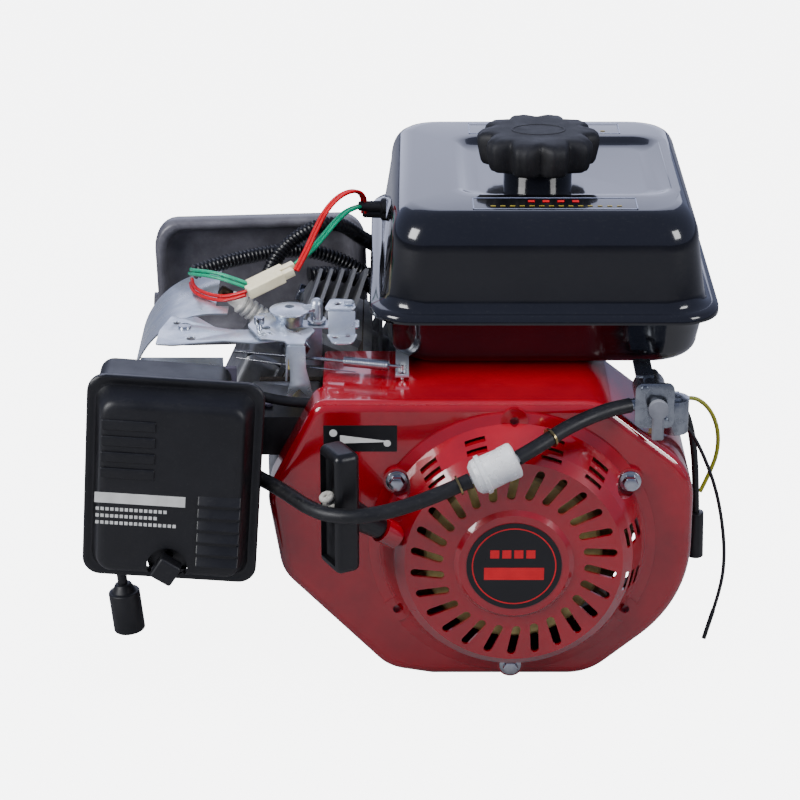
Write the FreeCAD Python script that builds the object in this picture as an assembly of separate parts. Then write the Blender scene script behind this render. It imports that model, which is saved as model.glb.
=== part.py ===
import FreeCAD, Part
import math
import os

# Small single-cylinder gasoline engine, millimetres.
# X runs to the right, Y away from the recoil starter, Z up.
# The origin is on the base face, straight below the crankshaft axis.

V = FreeCAD.Vector

# Driving dimensions
SHAFT_HEIGHT = 106.0        # crankshaft axis above the base face
CYL_Y = 2.0                 # plane of the cylinder axis
CYL_LEAN = 65.0             # cylinder axis leans this far from vertical, towards -X
BORE_R = 35.0
THROW = 27.5                # half the 55 mm stroke
ROD_LENGTH = 84.0
DECK = 134.0                # crank axis to head gasket face
HEAD_TOP = 176.0            # crank axis to valve cover face
WALL = 6.0                  # crankcase wall
CASE_FRONT = -52.0
CASE_REAR = 54.0
PTO_FACE = 64.0
PTO_R = 9.525
PTO_LENGTH = 61.7
JOURNAL_R = 12.5
BASE_HOLES = (162.0, 75.4)  # spacing of the four base bolts along X and Y
BASE_CENTRE_X = -15.0
SHROUD_FRONT = -148.0
SHROUD_BACK = -57.0
SHROUD_TOP = 209.0
SHROUD_R = 116.0
SHEET = 2.0
RECOIL_BOLT_R = 91.7
RECOIL_BOLT_ANGLES = (31.6, 148.4, 270.0)
RECOIL_HOLE_ANGLES = (90.0, 212.0, 328.0)
FACE_SLOTS = 26
TANK_X = (-97.0, 141.5)
TANK_Y = (-102.0, 162.0)
TANK_FLANGE_Z = 250.0
TANK_TOP = 322.0
TANK_BOTTOM = 211.0
CAP_X = 20.0
CAP_Y = 2.0
CARB_X = -148.0
CARB_Z = 174.0
CLEANER_X = -227.5
CLEANER_Z = 160.5
CLEANER_SIZE = (116.0, 141.0)
CLEANER_TILT = 4.5
CAM_LOCAL = (-48.0, 24.7)   # camshaft, beside and along the cylinder axis
GEAR_R = 18.0               # crank gear pitch radius, cam gear is twice this
CRANK_TEETH = 18
FIT = 0.05                  # radial clearance of a running fit
SLIP = 0.02                 # radial clearance of a seated part


def save(name, *solids):
    shape = solids[0] if len(solids) == 1 else Part.makeCompound(list(solids))
    shape.exportStep("parts/" + name + ".step")


def box(x0, x1, y0, y1, z0, z1, round_r=0.0, axis=None):
    solid = Part.makeBox(x1 - x0, y1 - y0, z1 - z0, V(x0, y0, z0))
    if round_r:
        edges = solid.Edges
        if axis is not None:
            edges = [e for e in edges if abs(e.tangentAt(e.FirstParameter).dot(axis)) > 0.9]
        solid = solid.makeFillet(round_r, edges)
    return solid


def rod(start, end, radius):
    start, end = V(*start), V(*end)
    along = end - start
    return Part.makeCylinder(radius, along.Length, start, along)


def cone(start, end, r_start, r_end):
    start, end = V(*start), V(*end)
    along = end - start
    return Part.makeCone(r_start, r_end, along.Length, start, along)


def ring(start, end, outer, inner):
    return rod(start, end, outer).cut(rod(start, end, inner))


def hexagon(start, end, across):
    start, end = V(*start), V(*end)
    along = end - start
    points = [V(across / math.sqrt(3) * math.cos(math.radians(60 * i)),
                across / math.sqrt(3) * math.sin(math.radians(60 * i)), 0) for i in range(7)]
    solid = Part.Face(Part.makePolygon(points)).extrude(V(0, 0, along.Length))
    solid.Placement = FreeCAD.Placement(start, FreeCAD.Rotation(V(0, 0, 1), along))
    return solid


def join(solids):
    first = solids[0]
    return first.fuse(list(solids[1:])).removeSplitter()


def about_y(solid, degrees, x=0.0, z=SHAFT_HEIGHT):
    copy = solid.copy()
    copy.rotate(V(x, 0, z), V(0, 1, 0), degrees)
    return copy


def lean(solid):
    # cylinder frame: local X across the cylinder (upper side), Z along it from the crank axis
    copy = solid.copy()
    copy.rotate(V(0, 0, 0), V(0, 1, 0), -CYL_LEAN)
    copy.translate(V(0, 0, SHAFT_HEIGHT))
    return copy


def lean_point(x, y, s):
    a = math.radians(CYL_LEAN)
    return (x * math.cos(a) - s * math.sin(a), y, SHAFT_HEIGHT + x * math.sin(a) + s * math.cos(a))


def outline_xz(corners, y):
    # closed outline in a plane of constant Y, each corner (x, z, radius)
    edges = []
    count = len(corners)
    ends = []
    for i in range(count):
        x, z, r = corners[i]
        here = V(x, y, z)
        back = V(corners[i - 1][0], y, corners[i - 1][1]) - here
        ahead = V(corners[(i + 1) % count][0], y, corners[(i + 1) % count][1]) - here
        half = back.getAngle(ahead) / 2
        trim = r / math.tan(half)
        back.normalize()
        ahead.normalize()
        start = here + back * trim
        end = here + ahead * trim
        middle_dir = back + ahead
        middle_dir.normalize()
        middle = here + middle_dir * (r / math.sin(half) - r)
        ends.append((start, middle, end))
    for i in range(count):
        start, middle, end = ends[i]
        edges.append(Part.Arc(start, middle, end).toShape())
        following = ends[(i + 1) % count][0]
        if (following - end).Length > 1e-6:
            edges.append(Part.LineSegment(end, following).toShape())
    return Part.Wire(edges)


def slab_xz(corners, y0, y1, inset=0.0):
    face = Part.Face(outline_xz(corners, y0))
    if inset:
        face = face.makeOffset2D(-inset)
    return face.extrude(V(0, y1 - y0, 0))


def tube(name, points, radius, inner=0.0):
    # straight runs joined by tangent arcs
    points = [V(*p) for p in points]
    edges = []
    tightest = 1e9
    start = points[0]
    for i in range(1, len(points) - 1):
        back = points[i - 1] - points[i]
        ahead = points[i + 1] - points[i]
        turn = math.pi - back.getAngle(ahead)
        shorter = min(back.Length, ahead.Length)
        bend = 0.45 * shorter / math.tan(turn / 2)
        tightest = min(tightest, bend)
        trim = 0.45 * shorter
        back.normalize()
        ahead.normalize()
        first = points[i] + back * trim
        last = points[i] + ahead * trim
        middle_dir = back + ahead
        middle_dir.normalize()
        middle = points[i] + middle_dir * (bend / math.cos(turn / 2) - bend)
        edges.append(Part.LineSegment(start, first).toShape())
        edges.append(Part.Arc(first, middle, last).toShape())
        start = last
    edges.append(Part.LineSegment(start, points[-1]).toShape())
    path = Part.Wire(edges)
    heading = points[1] - points[0]

    def sweep(r):
        profile = Part.Wire(Part.Circle(points[0], heading, r).toShape())
        return path.makePipeShell([profile], True, False)

    solid = sweep(radius)
    area = math.pi * radius ** 2
    if inner:
        solid = solid.cut(sweep(inner))
        area -= math.pi * inner ** 2
    print(name, "length", round(path.Length, 1), "tightest bend", round(tightest, 1),
          "volume ratio", round(solid.Volume / (area * path.Length), 3))
    return solid


# Crankcase and cylinder
CASE = [(-90, 4, 10), (78, 4, 10), (78, 146, 18), (56, 168, 18), (-46, 168, 20), (-90, 124, 20)]
COVER_BOLTS = [(-80, 15), (-6, 13), (68, 15), (68, 138), (8, 158)]
COIL_AT = (-87.0, 156.0)
CAM_X, _, CAM_Z = lean_point(CAM_LOCAL[0], 0, CAM_LOCAL[1])
VALVE_Y = (-18.0, 22.0)
TANK_POSTS = [(-10.0, -34.0), (60.0, -34.0), (30.0, 40.0)]


def cover_bolt_holes(radius, y0, y1):
    return [rod((x, y0, z), (x, y1, z), radius) for x, z in COVER_BOLTS]


def crankcase():
    shell = slab_xz(CASE, CASE_FRONT, CASE_REAR)
    inside = slab_xz(CASE, CASE_FRONT + 8, CASE_REAR, WALL)
    front_boss = rod((0, CASE_FRONT + 7, SHAFT_HEIGHT), (0, -36, SHAFT_HEIGHT), 33)
    cam_boss = rod((CAM_X, -45, CAM_Z), (CAM_X, -40, CAM_Z), 12)
    bosses = [rod((x, CASE_FRONT + 7, z), (x, CASE_REAR, z), 8) for x, z in COVER_BOLTS]
    bosses = [b.common(shell) for b in bosses]
    case = join([shell.cut(inside), front_boss, cam_boss] + bosses)
    pad = box(BASE_CENTRE_X - 93, BASE_CENTRE_X + 93, -48, 48, 0, 9, 8, V(0, 0, 1))
    pad = pad.cut([box(BASE_CENTRE_X + x0, BASE_CENTRE_X + x1, -34, 34, -1, 4) for x0,
                   x1 in ((-64, -12), (42, 64))])
    barrel = lean(rod((0, CYL_Y, 58), (0, CYL_Y, DECK), 43))
    plates = [box(-52, 46, -50, 54, s, s + 2.6) for s in (92, 101, 110, 119)]
    plates.append(box(-52, 46, -50, 54, 127, DECK))
    fins = lean(join(plates))
    seal_boss = rod((0, -58, SHAFT_HEIGHT), (0, CASE_FRONT + 1, SHAFT_HEIGHT), 24)
    posts = [rod((x, y, 160), (x, y, TANK_BOTTOM), 9) for x, y in TANK_POSTS]
    coil_posts = [rod((COIL_AT[0] + dx, -70, COIL_AT[1] + dz), (COIL_AT[0] + dx, -48, COIL_AT[1] + dz), 4)
                  for dx, dz in ((-8.5, -14.7), (8.5, 14.7))]
    body = join([case, pad, barrel, fins, seal_boss] + posts + coil_posts)
    body = body.cut(lean(rod((0, CYL_Y, 20), (0, CYL_Y, DECK + 1), BORE_R)))
    cuts = [rod((CAM_X, 36.2, CAM_Z), (CAM_X, 47.5, CAM_Z), 40.0)]
    cuts.append(rod((CAM_X, -50, CAM_Z), (CAM_X, -39, CAM_Z), 7 + FIT))
    cuts.append(rod((0, -50, SHAFT_HEIGHT), (0, -35, SHAFT_HEIGHT), 26 + SLIP))
    cuts.append(rod((0, -57, SHAFT_HEIGHT), (0, -49, SHAFT_HEIGHT), 17.5))
    cuts.append(rod((0, -59, SHAFT_HEIGHT), (0, -49, SHAFT_HEIGHT), 14))
    cuts += cover_bolt_holes(3.05, 44, CASE_REAR + 1)
    cuts.append(rod((-58, -58, 150), (-58, -40, 150), 4.05))
    for dx in (-BASE_HOLES[0] / 2, BASE_HOLES[0] / 2):
        for y in (-BASE_HOLES[1] / 2, BASE_HOLES[1] / 2):
            cuts.append(rod((BASE_CENTRE_X + dx, y, -1), (BASE_CENTRE_X + dx, y, 20), 4.75))
    for y in VALVE_Y:
        cuts.append(lean(rod((CAM_LOCAL[0], y, 60), (CAM_LOCAL[0], y, DECK + 1), 5)))
    return body.cut(cuts)


def side_cover():
    plate = slab_xz(CASE, CASE_REAR, PTO_FACE)
    boss = rod((0, 47.7, SHAFT_HEIGHT), (0, CASE_REAR + 1, SHAFT_HEIGHT), 33)
    cam_boss = rod((CAM_X, 50, CAM_Z), (CAM_X, CASE_REAR + 1, CAM_Z), 12)
    ribs = [about_y(box(30, 62, PTO_FACE - 1, PTO_FACE + 1.5, SHAFT_HEIGHT - 2, SHAFT_HEIGHT + 2), a)
            for a in (70, 110, 180)]
    cover = join([plate, boss, cam_boss] + [r.common(slab_xz(CASE, 50, 70)) for r in ribs])
    cuts = [rod((0, 47, SHAFT_HEIGHT), (0, 60, SHAFT_HEIGHT), 26 + SLIP)]
    cuts.append(rod((0, 59, SHAFT_HEIGHT), (0, 70, SHAFT_HEIGHT), 17.5))
    cuts.append(rod((CAM_X, 49, CAM_Z), (CAM_X, 59.5, CAM_Z), 7 + FIT))
    for a in (45, 135, 225, 315):
        x = 46.04 * math.cos(math.radians(a))
        z = SHAFT_HEIGHT + 46.04 * math.sin(math.radians(a))
        cuts.append(rod((x, 52, z), (x, 70, z), 3.4))
    cuts += cover_bolt_holes(3.05, 50, 70)
    cuts.append(rod((60, 50, 38), (60, 70, 38), 9 + FIT))
    return cover.cut(cuts)


def cylinder_head():
    core = join([box(-50, 46, -28, 52, DECK + 1, HEAD_TOP), box(-50, 40, -48, -27, DECK + 1, HEAD_TOP)])
    slots = [box(14, 60, y, y + 6, DECK + 8, HEAD_TOP - 6) for y in (-26, -15, -4, 7, 18, 29, 40)]
    slots += [box(-60, -30, y, y + 6, DECK + 8, HEAD_TOP - 10) for y in (-36, -8, 6, 34)]
    head = core.cut(slots)
    plug_seat = rod((12, -6, DECK + 6), (27, -15, HEAD_TOP), 12)
    head = lean(join([head, plug_seat.common(box(-50, 50, -48, 52, DECK + 1, HEAD_TOP))]))
    dome = lean(rod((0, CYL_Y, DECK), (0, CYL_Y, DECK + 6), 33))
    cuts = [dome]
    cuts.append(rod((CARB_X, -60, CARB_Z), (CARB_X, -20, CARB_Z), 10))
    cuts.append(rod((CARB_X, 30, CARB_Z), (CARB_X, 60, CARB_Z), 11))
    for y in VALVE_Y:
        cuts.append(lean(rod((CAM_LOCAL[0] + 2, y, DECK), (CAM_LOCAL[0] + 2, y, HEAD_TOP + 1), 5)))
        cuts.append(lean(rod((-14, y * 0.8, DECK), (-14, y * 0.8, HEAD_TOP + 1), 3.05)))
    cuts.append(spark_plug_body().fuse(spark_plug_ceramic()))
    return head.cut(cuts)


def valve_cover():
    outer = lean(box(-53, 10, -40, 44, HEAD_TOP + 1, HEAD_TOP + 31, 7))
    outer = outer.cut(lean(box(-60, 20, -50, 54, HEAD_TOP, HEAD_TOP + 4)))
    rim = lean(box(-53, 10, -42, 46, HEAD_TOP + 1, HEAD_TOP + 4.5))
    inner = lean(box(-51, 8, -38, 42, HEAD_TOP, HEAD_TOP + 29))
    return join([outer, rim]).cut(inner)


PLUG_SEAT = lean_point(18, -12, 160)
PLUG_TIP = lean_point(36, -20, 237)


def plug_point(t):
    return tuple(PLUG_SEAT[i] + (PLUG_TIP[i] - PLUG_SEAT[i]) * t for i in range(3))


def spark_plug_body():
    thread = rod(plug_point(-0.12), plug_point(0.24), 5)
    collar = rod(plug_point(0.24), plug_point(0.30), 9)
    hexed = hexagon(plug_point(0.30), plug_point(0.44), 16)
    cap = rod(plug_point(0.92), plug_point(1.0), 3.2)
    return Part.makeCompound([join([thread, collar, hexed]), cap])


def spark_plug_ceramic():
    ribs = [rod(plug_point(0.50 + 0.075 * i), plug_point(0.54 + 0.075 * i), 6.6) for i in range(5)]
    return join([cone(plug_point(0.44), plug_point(0.92), 5.8, 4.4)] + ribs)


def gaskets_and_seals():
    head_gasket = lean(box(-50, 46, -48, 52, DECK, DECK + 1))
    head_gasket = head_gasket.cut(lean(rod((0, CYL_Y, DECK - 1), (0, CYL_Y, DECK + 2), BORE_R)))
    for y in VALVE_Y:
        head_gasket = head_gasket.cut(lean(rod((-47, y, DECK - 1), (-47, y, DECK + 2), 6)))
    lid_gasket = lean(box(-53, 10, -42, 46, HEAD_TOP, HEAD_TOP + 1).cut(
        box(-51, 8, -38, 42, HEAD_TOP - 1, HEAD_TOP + 2)))
    insulator = box(CARB_X - 26, CARB_X + 17, -54, -48, CARB_Z - 17, CARB_Z + 12)
    insulator = insulator.cut(rod((CARB_X, -60, CARB_Z), (CARB_X, -40, CARB_Z), 9))
    front_seal = ring((0, -56.5, SHAFT_HEIGHT), (0, -51, SHAFT_HEIGHT), 17.48, JOURNAL_R + FIT)
    rear_seal = ring((0, 60.5, SHAFT_HEIGHT), (0, PTO_FACE, SHAFT_HEIGHT), 17.48, JOURNAL_R + FIT)
    return [head_gasket, lid_gasket, insulator, front_seal, rear_seal]


def bearing(y0, y1):
    outer = ring((0, y0, SHAFT_HEIGHT), (0, y1, SHAFT_HEIGHT), 26, 22)
    inner = ring((0, y0, SHAFT_HEIGHT), (0, y1, SHAFT_HEIGHT), 16.5, JOURNAL_R + FIT)
    middle = (y0 + y1) / 2
    balls = []
    for i in range(9):
        a = 2 * math.pi * i / 9
        balls.append(Part.makeSphere(2.7,
                                     V(19.25 * math.cos(a), middle, SHAFT_HEIGHT + 19.25 * math.sin(a))))
    return [outer, inner] + balls


# Crank train
def gear(x, z, pitch_r, teeth, y0, y1, phase):
    module = 2 * pitch_r / teeth
    root = pitch_r - 1.25 * module
    disc = rod((x, y0, z), (x, y1, z), root + 0.05)
    cogs = []
    for i in range(teeth):
        a = 2 * math.pi * (i + phase) / teeth
        half_root = 0.34 * math.pi * module / 2
        half_tip = 0.18 * math.pi * module / 2
        tip = pitch_r + 0.9 * module
        shape = [(root - 0.5, -half_root * 1.15), (tip, -half_tip), (tip, half_tip),
                 (root - 0.5, half_root * 1.15)]
        points = [V(x + r * math.cos(a) - w * math.sin(a), y0, z + r * math.sin(a) + w * math.cos(a))
                  for r, w in shape]
        points.append(points[0])
        cogs.append(Part.Face(Part.makePolygon(points)).extrude(V(0, y1 - y0, 0)))
    return disc.fuse(cogs)


CAM_ANGLE = math.atan2(CAM_Z - SHAFT_HEIGHT, CAM_X)


def gear_phase(teeth, direction):
    # number of teeth from the X axis round to the given direction
    return direction * teeth / (2 * math.pi)


def web(y0, y1):
    disc = rod((0, y0, SHAFT_HEIGHT), (0, y1, SHAFT_HEIGHT), 39)
    eye = lean(rod((0, y0 - 1, THROW), (0, y1 + 1, THROW), 8))
    sides = [lean(box(x0, x1, y0 - 1, y1 + 1, 8, 45)) for x0, x1 in ((22, 45), (-45, -22))]
    return disc.cut([eye] + sides)


def crankshaft():
    h = SHAFT_HEIGHT
    front = join([web(-26, -10), rod((0, -59, h), (0, -25, h), JOURNAL_R),
                  cone((0, -95, h), (0, -59, h), 9, 12), rod((0, -128, h), (0, -94, h), 9)])
    rear = join([web(14, 30), rod((0, 29, h), (0, PTO_FACE + 1, h), JOURNAL_R),
                 rod((0, PTO_FACE, h), (0, PTO_FACE + PTO_LENGTH, h), PTO_R),
                 gear(0, h, GEAR_R, CRANK_TEETH, 38, 46, gear_phase(CRANK_TEETH, CAM_ANGLE))])
    keyway = box(-2.4, 2.4, PTO_FACE + 14, PTO_FACE + PTO_LENGTH + 1, h + PTO_R - 2.6, h + PTO_R + 1)
    end_hole = rod((0, PTO_FACE + PTO_LENGTH - 22, h), (0, PTO_FACE + PTO_LENGTH + 1, h), 3.4)
    return front, rear.cut([keyway, end_hole])


def flywheel(shaft):
    h = SHAFT_HEIGHT
    hub = rod((0, -98, h), (0, -64, h), 22)
    disc = rod((0, -78, h), (0, -70, h), 82)
    rim = ring((0, -92, h), (0, -66, h), 84, 72)
    holes = [about_y(rod((48, -80, h), (48, -60, h), 8), 60 * i) for i in range(6)]
    return join([hub, disc, rim]).cut(holes + [shaft, rod((0, -99, h), (0, -60, h), 9)])


def cooling_fan():
    h = SHAFT_HEIGHT
    plate = ring((0, -101, h), (0, -98, h), 88, 28)
    blades = [about_y(box(44, 88, -119, -100.5, h - 1.2, h + 1.2), 18 * i + 4) for i in range(20)]
    return join([plate] + blades)


def starter_cup():
    h = SHAFT_HEIGHT
    floor = rod((0, -121, h), (0, -118, h), 34)
    wall = ring((0, -146, h), (0, -120, h), 34, 32)
    slots = [about_y(box(28, 38, -142, -134, h - 6, h + 6), 45 * i) for i in range(8)]
    hub = rod((0, -119, h), (0, -101.5, h), 18)
    cup = join([floor, wall, hub]).cut(slots + [rod((0, -122, h), (0, -90, h), 9)])
    nut = hexagon((0, -131, h), (0, -121, h), 24).cut(rod((0, -132, h), (0, -120, h), 9))
    return [cup, nut]


def camshaft():
    shaft = rod((CAM_X, -49, CAM_Z), (CAM_X, 59, CAM_Z), 7)
    phase = gear_phase(2 * CRANK_TEETH, CAM_ANGLE + math.pi) + 0.5
    wheel = gear(CAM_X, CAM_Z, 2 * GEAR_R, 2 * CRANK_TEETH, 38, 46, phase)
    wheel = wheel.cut([about_y(rod((CAM_X + 22, 36, CAM_Z), (CAM_X + 22, 48, CAM_Z), 6), 60 * i + 15,
                               CAM_X, CAM_Z) for i in range(6)])
    lobes = []
    for y, turn in ((VALVE_Y[0], 155), (VALVE_Y[1], 260)):
        base = rod((CAM_X, y - 4, CAM_Z), (CAM_X, y + 4, CAM_Z), 9.5)
        nose = rod((CAM_X + 6, y - 4, CAM_Z), (CAM_X + 6, y + 4, CAM_Z), 6.5)
        lobes.append(base.fuse(about_y(nose, turn, CAM_X, CAM_Z)))
    return join([shaft, wheel] + lobes)


def piston():
    crown = THROW + ROD_LENGTH + 21.8
    outer = rod((0, CYL_Y, crown - 38), (0, CYL_Y, crown), BORE_R - FIT)
    inner = rod((0, CYL_Y, crown - 39), (0, CYL_Y, crown - 7), 29)
    skirt = outer.cut(inner)
    pin = THROW + ROD_LENGTH
    bosses = [rod((0, CYL_Y - 30, pin), (0, CYL_Y - 13, pin), 13),
              rod((0, CYL_Y + 13, pin), (0, CYL_Y + 30, pin), 13)]
    grooves = [ring((0, CYL_Y, crown - d - 1.6), (0, CYL_Y, crown - d), 36, 32.4) for d in (5, 10, 15)]
    rings = [ring((0, CYL_Y, crown - d - 1.5), (0, CYL_Y, crown - d - 0.1), BORE_R - 0.02,
                  32.6) for d in (5, 10, 15)]
    body = join([skirt] + bosses).cut(grooves)
    body = body.cut(rod((0, CYL_Y - 40, pin), (0, CYL_Y + 40, pin), 9))
    return [lean(body)] + [lean(r) for r in rings]


def connecting_rod():
    pin = THROW + ROD_LENGTH
    big = rod((0, CYL_Y - 10.5, THROW), (0, CYL_Y + 10.5, THROW), 19)
    small = rod((0, CYL_Y - 11, pin), (0, CYL_Y + 11, pin), 12.5)
    shank = box(-7, 7, CYL_Y - 6, CYL_Y + 6, THROW + 15, pin - 9)
    shank = shank.cut([box(-4, 4, CYL_Y - 7, CYL_Y - 3, THROW + 22, pin - 15),
                       box(-4, 4, CYL_Y + 3, CYL_Y + 7, THROW + 22, pin - 15)])
    arm = join([big, small, shank])
    arm = arm.cut([rod((0, -30, THROW), (0, 30, THROW), 11), rod((0, -30, pin), (0, 30, pin), 9)])
    crankpin = rod((0, CYL_Y - 10.5, THROW), (0, CYL_Y + 10.5, THROW), 11)
    wrist_pin = ring((0, CYL_Y - 27, pin), (0, CYL_Y + 27, pin), 9, 6)
    return [lean(arm), lean(crankpin), lean(wrist_pin)]


def valves():
    solids = []
    for y in VALVE_Y:
        y = y * 0.8
        stem = rod((-14, y, DECK + 3), (-14, y, HEAD_TOP + 18), 3)
        disc = cone((-14, y, DECK + 1.5), (-14, y, DECK + 5), 11, 5)
        keeper = rod((-14, y, HEAD_TOP + 13), (-14, y, HEAD_TOP + 15), 8.5)
        solids.append(lean(join([stem, disc.cut(rod((-14, y, DECK + 6), (-14, y, DECK + 9), 14)), keeper])))
        for i in range(3):
            z = HEAD_TOP + 1 + 4 * i
            solids.append(lean(ring((-14, y, z), (-14, y, z + 1.6), 8, 6.2)))
    return solids


def rockers():
    solids = []
    for y in VALVE_Y:
        tappet = rod((CAM_LOCAL[0], y, 40), (CAM_LOCAL[0], y, 48), 7.5)
        push = rod((CAM_LOCAL[0] + 1, y, 48), (CAM_LOCAL[0] + 1, y, HEAD_TOP + 16), 2.4)
        solids.append(lean(join([tappet, push])))
        arm = box(-50.5, -8, y * 0.9 - 4, y * 0.9 + 4, HEAD_TOP + 18.2, HEAD_TOP + 23, 1.5)
        stud = rod((-31, y * 0.9, HEAD_TOP), (-31, y * 0.9, HEAD_TOP + 27), 2.5)
        solids.append(lean(arm.fuse(stud)))
    return solids


# Fan cover and recoil starter
SHROUD = [(-54, 3, 14), (54, 3, 40), (122, 60, 90), (122, 158, 44), (58, SHROUD_TOP, 34),
          (-132, SHROUD_TOP, 12), (-166, 143, 30), (-156, 82, 30), (-84, 8, 30)]
LEFT_WALL = -128.0
LOBE_BACK = -119.0


def shroud_solid(inset):
    front = SHROUD_FRONT + inset
    whole = slab_xz(SHROUD, front, LOBE_BACK - inset, inset)
    right = slab_xz(SHROUD, front, SHROUD_BACK, inset).common(
        box(LEFT_WALL + inset, 200, front, SHROUD_BACK, -10, 300))
    return join([whole, right])


def fan_cover():
    outer = shroud_solid(0.0)
    front_edges = [e for e in outer.Edges if abs(e.BoundBox.YMin - SHROUD_FRONT) < 0.01
                   and abs(e.BoundBox.YMax - SHROUD_FRONT) < 0.01]
    outer = outer.makeFillet(7.0, front_edges)
    shell = outer.cut(shroud_solid(SHEET))
    h = SHAFT_HEIGHT
    cuts = [rod((0, -160, h), (0, -140, h), 84)]
    for a in RECOIL_BOLT_ANGLES:
        x = RECOIL_BOLT_R * math.cos(math.radians(a))
        z = h + RECOIL_BOLT_R * math.sin(math.radians(a))
        cuts.append(rod((x, -160, z), (x, -140, z), 3.05))
    return shell.cut(cuts)


def lug(angle, radius):
    x = RECOIL_BOLT_R * math.cos(math.radians(angle))
    z = SHAFT_HEIGHT + RECOIL_BOLT_R * math.sin(math.radians(angle))
    return rod((x, SHROUD_FRONT - 4, z), (x, SHROUD_FRONT, z), radius)


def revolve_y(profile):
    points = [V(r, y, SHAFT_HEIGHT) for r, y in profile]
    points.append(points[0])
    return Part.Face(Part.makePolygon(points)).revolve(V(0, 0, SHAFT_HEIGHT), V(0, 1, 0), 360)


PULL = V(-0.725, -0.35, 0.593).normalize()
ROPE_GUIDE = V(-82.0, -171.0, 124.0)


def recoil_cover():
    h = SHAFT_HEIGHT
    profile = [(97, -148), (97, -150), (90, -152), (87, -158), (80, -171), (73, -178), (40, -180),
               (37, -183), (0.01, -183), (0.01, -180.6), (36, -180.6), (38.5, -177.8), (72, -175.8),
               (78, -169.8), (85, -157), (86, -150), (86, -148)]
    dome = revolve_y(profile)
    lugs = [lug(a, 9) for a in RECOIL_BOLT_ANGLES + RECOIL_HOLE_ANGLES]
    lugs = [g.cut(rod((0, -160, h), (0, -140, h), 84)) for g in lugs]
    post = rod((0, -182, h), (0, -153, h), 8)
    guide_start = ROPE_GUIDE - PULL * 4
    guide = rod(tuple(guide_start), tuple(ROPE_GUIDE + PULL * 9), 9)
    filled = revolve_y(profile[:8] + [(0.01, -183), (0.01, -148)])
    pockets = []
    for a in RECOIL_BOLT_ANGLES:
        x = RECOIL_BOLT_R * math.cos(math.radians(a))
        z = h + RECOIL_BOLT_R * math.sin(math.radians(a))
        pockets.append(rod((x, -172, z), (x, SHROUD_FRONT, z), 10.6).common(filled))
    cover = join([dome, post, guide] + lugs + pockets)
    cuts = []
    for i in range(FACE_SLOTS):
        slot = join([box(50, 67, -190, -170, h - 2.8, h + 2.8), rod((50, -190, h), (50, -170, h), 2.8),
                     rod((67, -190, h), (67, -170, h), 2.8)])
        slot = about_y(slot, 14, 50, h)
        cuts.append(about_y(slot, 360 / FACE_SLOTS * i + 4))
    for middle in (60, 120, 0):
        for side in (-12, 12):
            for row in (77.5, 81.5, 85.5):
                bite = ring((0, -176, h), (0, -152, h), row + 1.1, row - 1.1)
                wedge = box(60, 100, -180, -150, h - 7, h + 7)
                cuts.append(about_y(bite.common(wedge), -(middle + side)))
    for a in RECOIL_BOLT_ANGLES + RECOIL_HOLE_ANGLES:
        x = RECOIL_BOLT_R * math.cos(math.radians(a))
        z = h + RECOIL_BOLT_R * math.sin(math.radians(a))
        cuts.append(rod((x, -160, z), (x, -140, z), 3.05))
    for a in RECOIL_BOLT_ANGLES:
        x = RECOIL_BOLT_R * math.cos(math.radians(a))
        z = h + RECOIL_BOLT_R * math.sin(math.radians(a))
        cuts.append(rod((x, -175, z), (x, -152, z), 9))
    cuts.append(rod(tuple(ROPE_GUIDE - PULL * 14), tuple(ROPE_GUIDE + PULL * 20), 3.2))
    return cover.cut(cuts)


def starter_pulley():
    h = SHAFT_HEIGHT
    profile = [(8 + FIT, -170), (58, -170), (60, -168.5), (48, -166), (48, -160), (60, -157.5),
               (58, -156), (30, -156), (30, -153), (26, -153), (26, -156), (8 + FIT, -156)]
    return revolve_y(profile)


def starter_grip():
    length = 86.0
    centre = ROPE_GUIDE + PULL * 47
    bar = box(-9, 9, -15, 13, -length / 2, length / 2, 5)
    hollow = box(-20, -5, -11, 9, -length / 2 + 6, length / 2 - 6)
    bar = bar.cut(hollow)
    bar.rotate(V(0, 0, 0), V(0, 0, 1), 28)
    bar.translate(centre)
    start = ROPE_GUIDE + PULL * 10.5
    stem_end = centre + (start - centre) * 0.12
    stem = cone(tuple(start), tuple(stem_end), 7.5, 10)
    hole = rod(tuple(start - PULL * 2), tuple(centre + PULL * 12), 2.6)
    return join([bar, stem]).cut(hole)


def starter_rope():
    return rod(tuple(ROPE_GUIDE - PULL * 2), tuple(ROPE_GUIDE + PULL * 36), 1.75)


def ignition_coil():
    x, z = COIL_AT
    core = box(x - 8, x + 8, -88, -70, z - 30, z + 30)
    core = core.cut(box(x + 1, x + 20, -90, -69, z - 14, z + 14))
    winding = box(x + 1.2, x + 15, -90, -70, z - 12, z + 12, 3)
    coil = about_y(core.fuse(winding), -30, x, z)
    coil = coil.cut(rod((0, -110, SHAFT_HEIGHT), (0, -60, SHAFT_HEIGHT), 84.8))
    return coil


# Intake
def carburetor():
    body = box(CARB_X - 32, CARB_X + 17, -90, -54, CARB_Z - 27, CARB_Z + 12, 3)
    neck = rod((CARB_X - 4, -73, CARB_Z - 32), (CARB_X - 4, -73, CARB_Z - 25), 14)
    bowl = rod((CARB_X - 4, -73, 120), (CARB_X - 4, -73, CARB_Z - 30), 16)
    bowl = bowl.makeFillet(4, [e for e in bowl.Edges if e.BoundBox.ZMax < 121])
    drain = hexagon((CARB_X - 4, -73, 114), (CARB_X - 4, -73, 121), 10)
    inlet = join([rod((-185.5, -98, 151), (-185.5, -80, 151), 2.9),
                  rod((-186.5, -82, 151), (-178, -82, 151), 3.5)])
    body = join([body, neck, bowl, drain, inlet])
    cuts = [rod((CARB_X, -95, CARB_Z), (CARB_X, -50, CARB_Z), 9)]
    cuts.append(rod((CARB_X, -66, CARB_Z - 11), (CARB_X, -66, CARB_Z + 20), 3.06))
    return body.cut(cuts)


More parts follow.
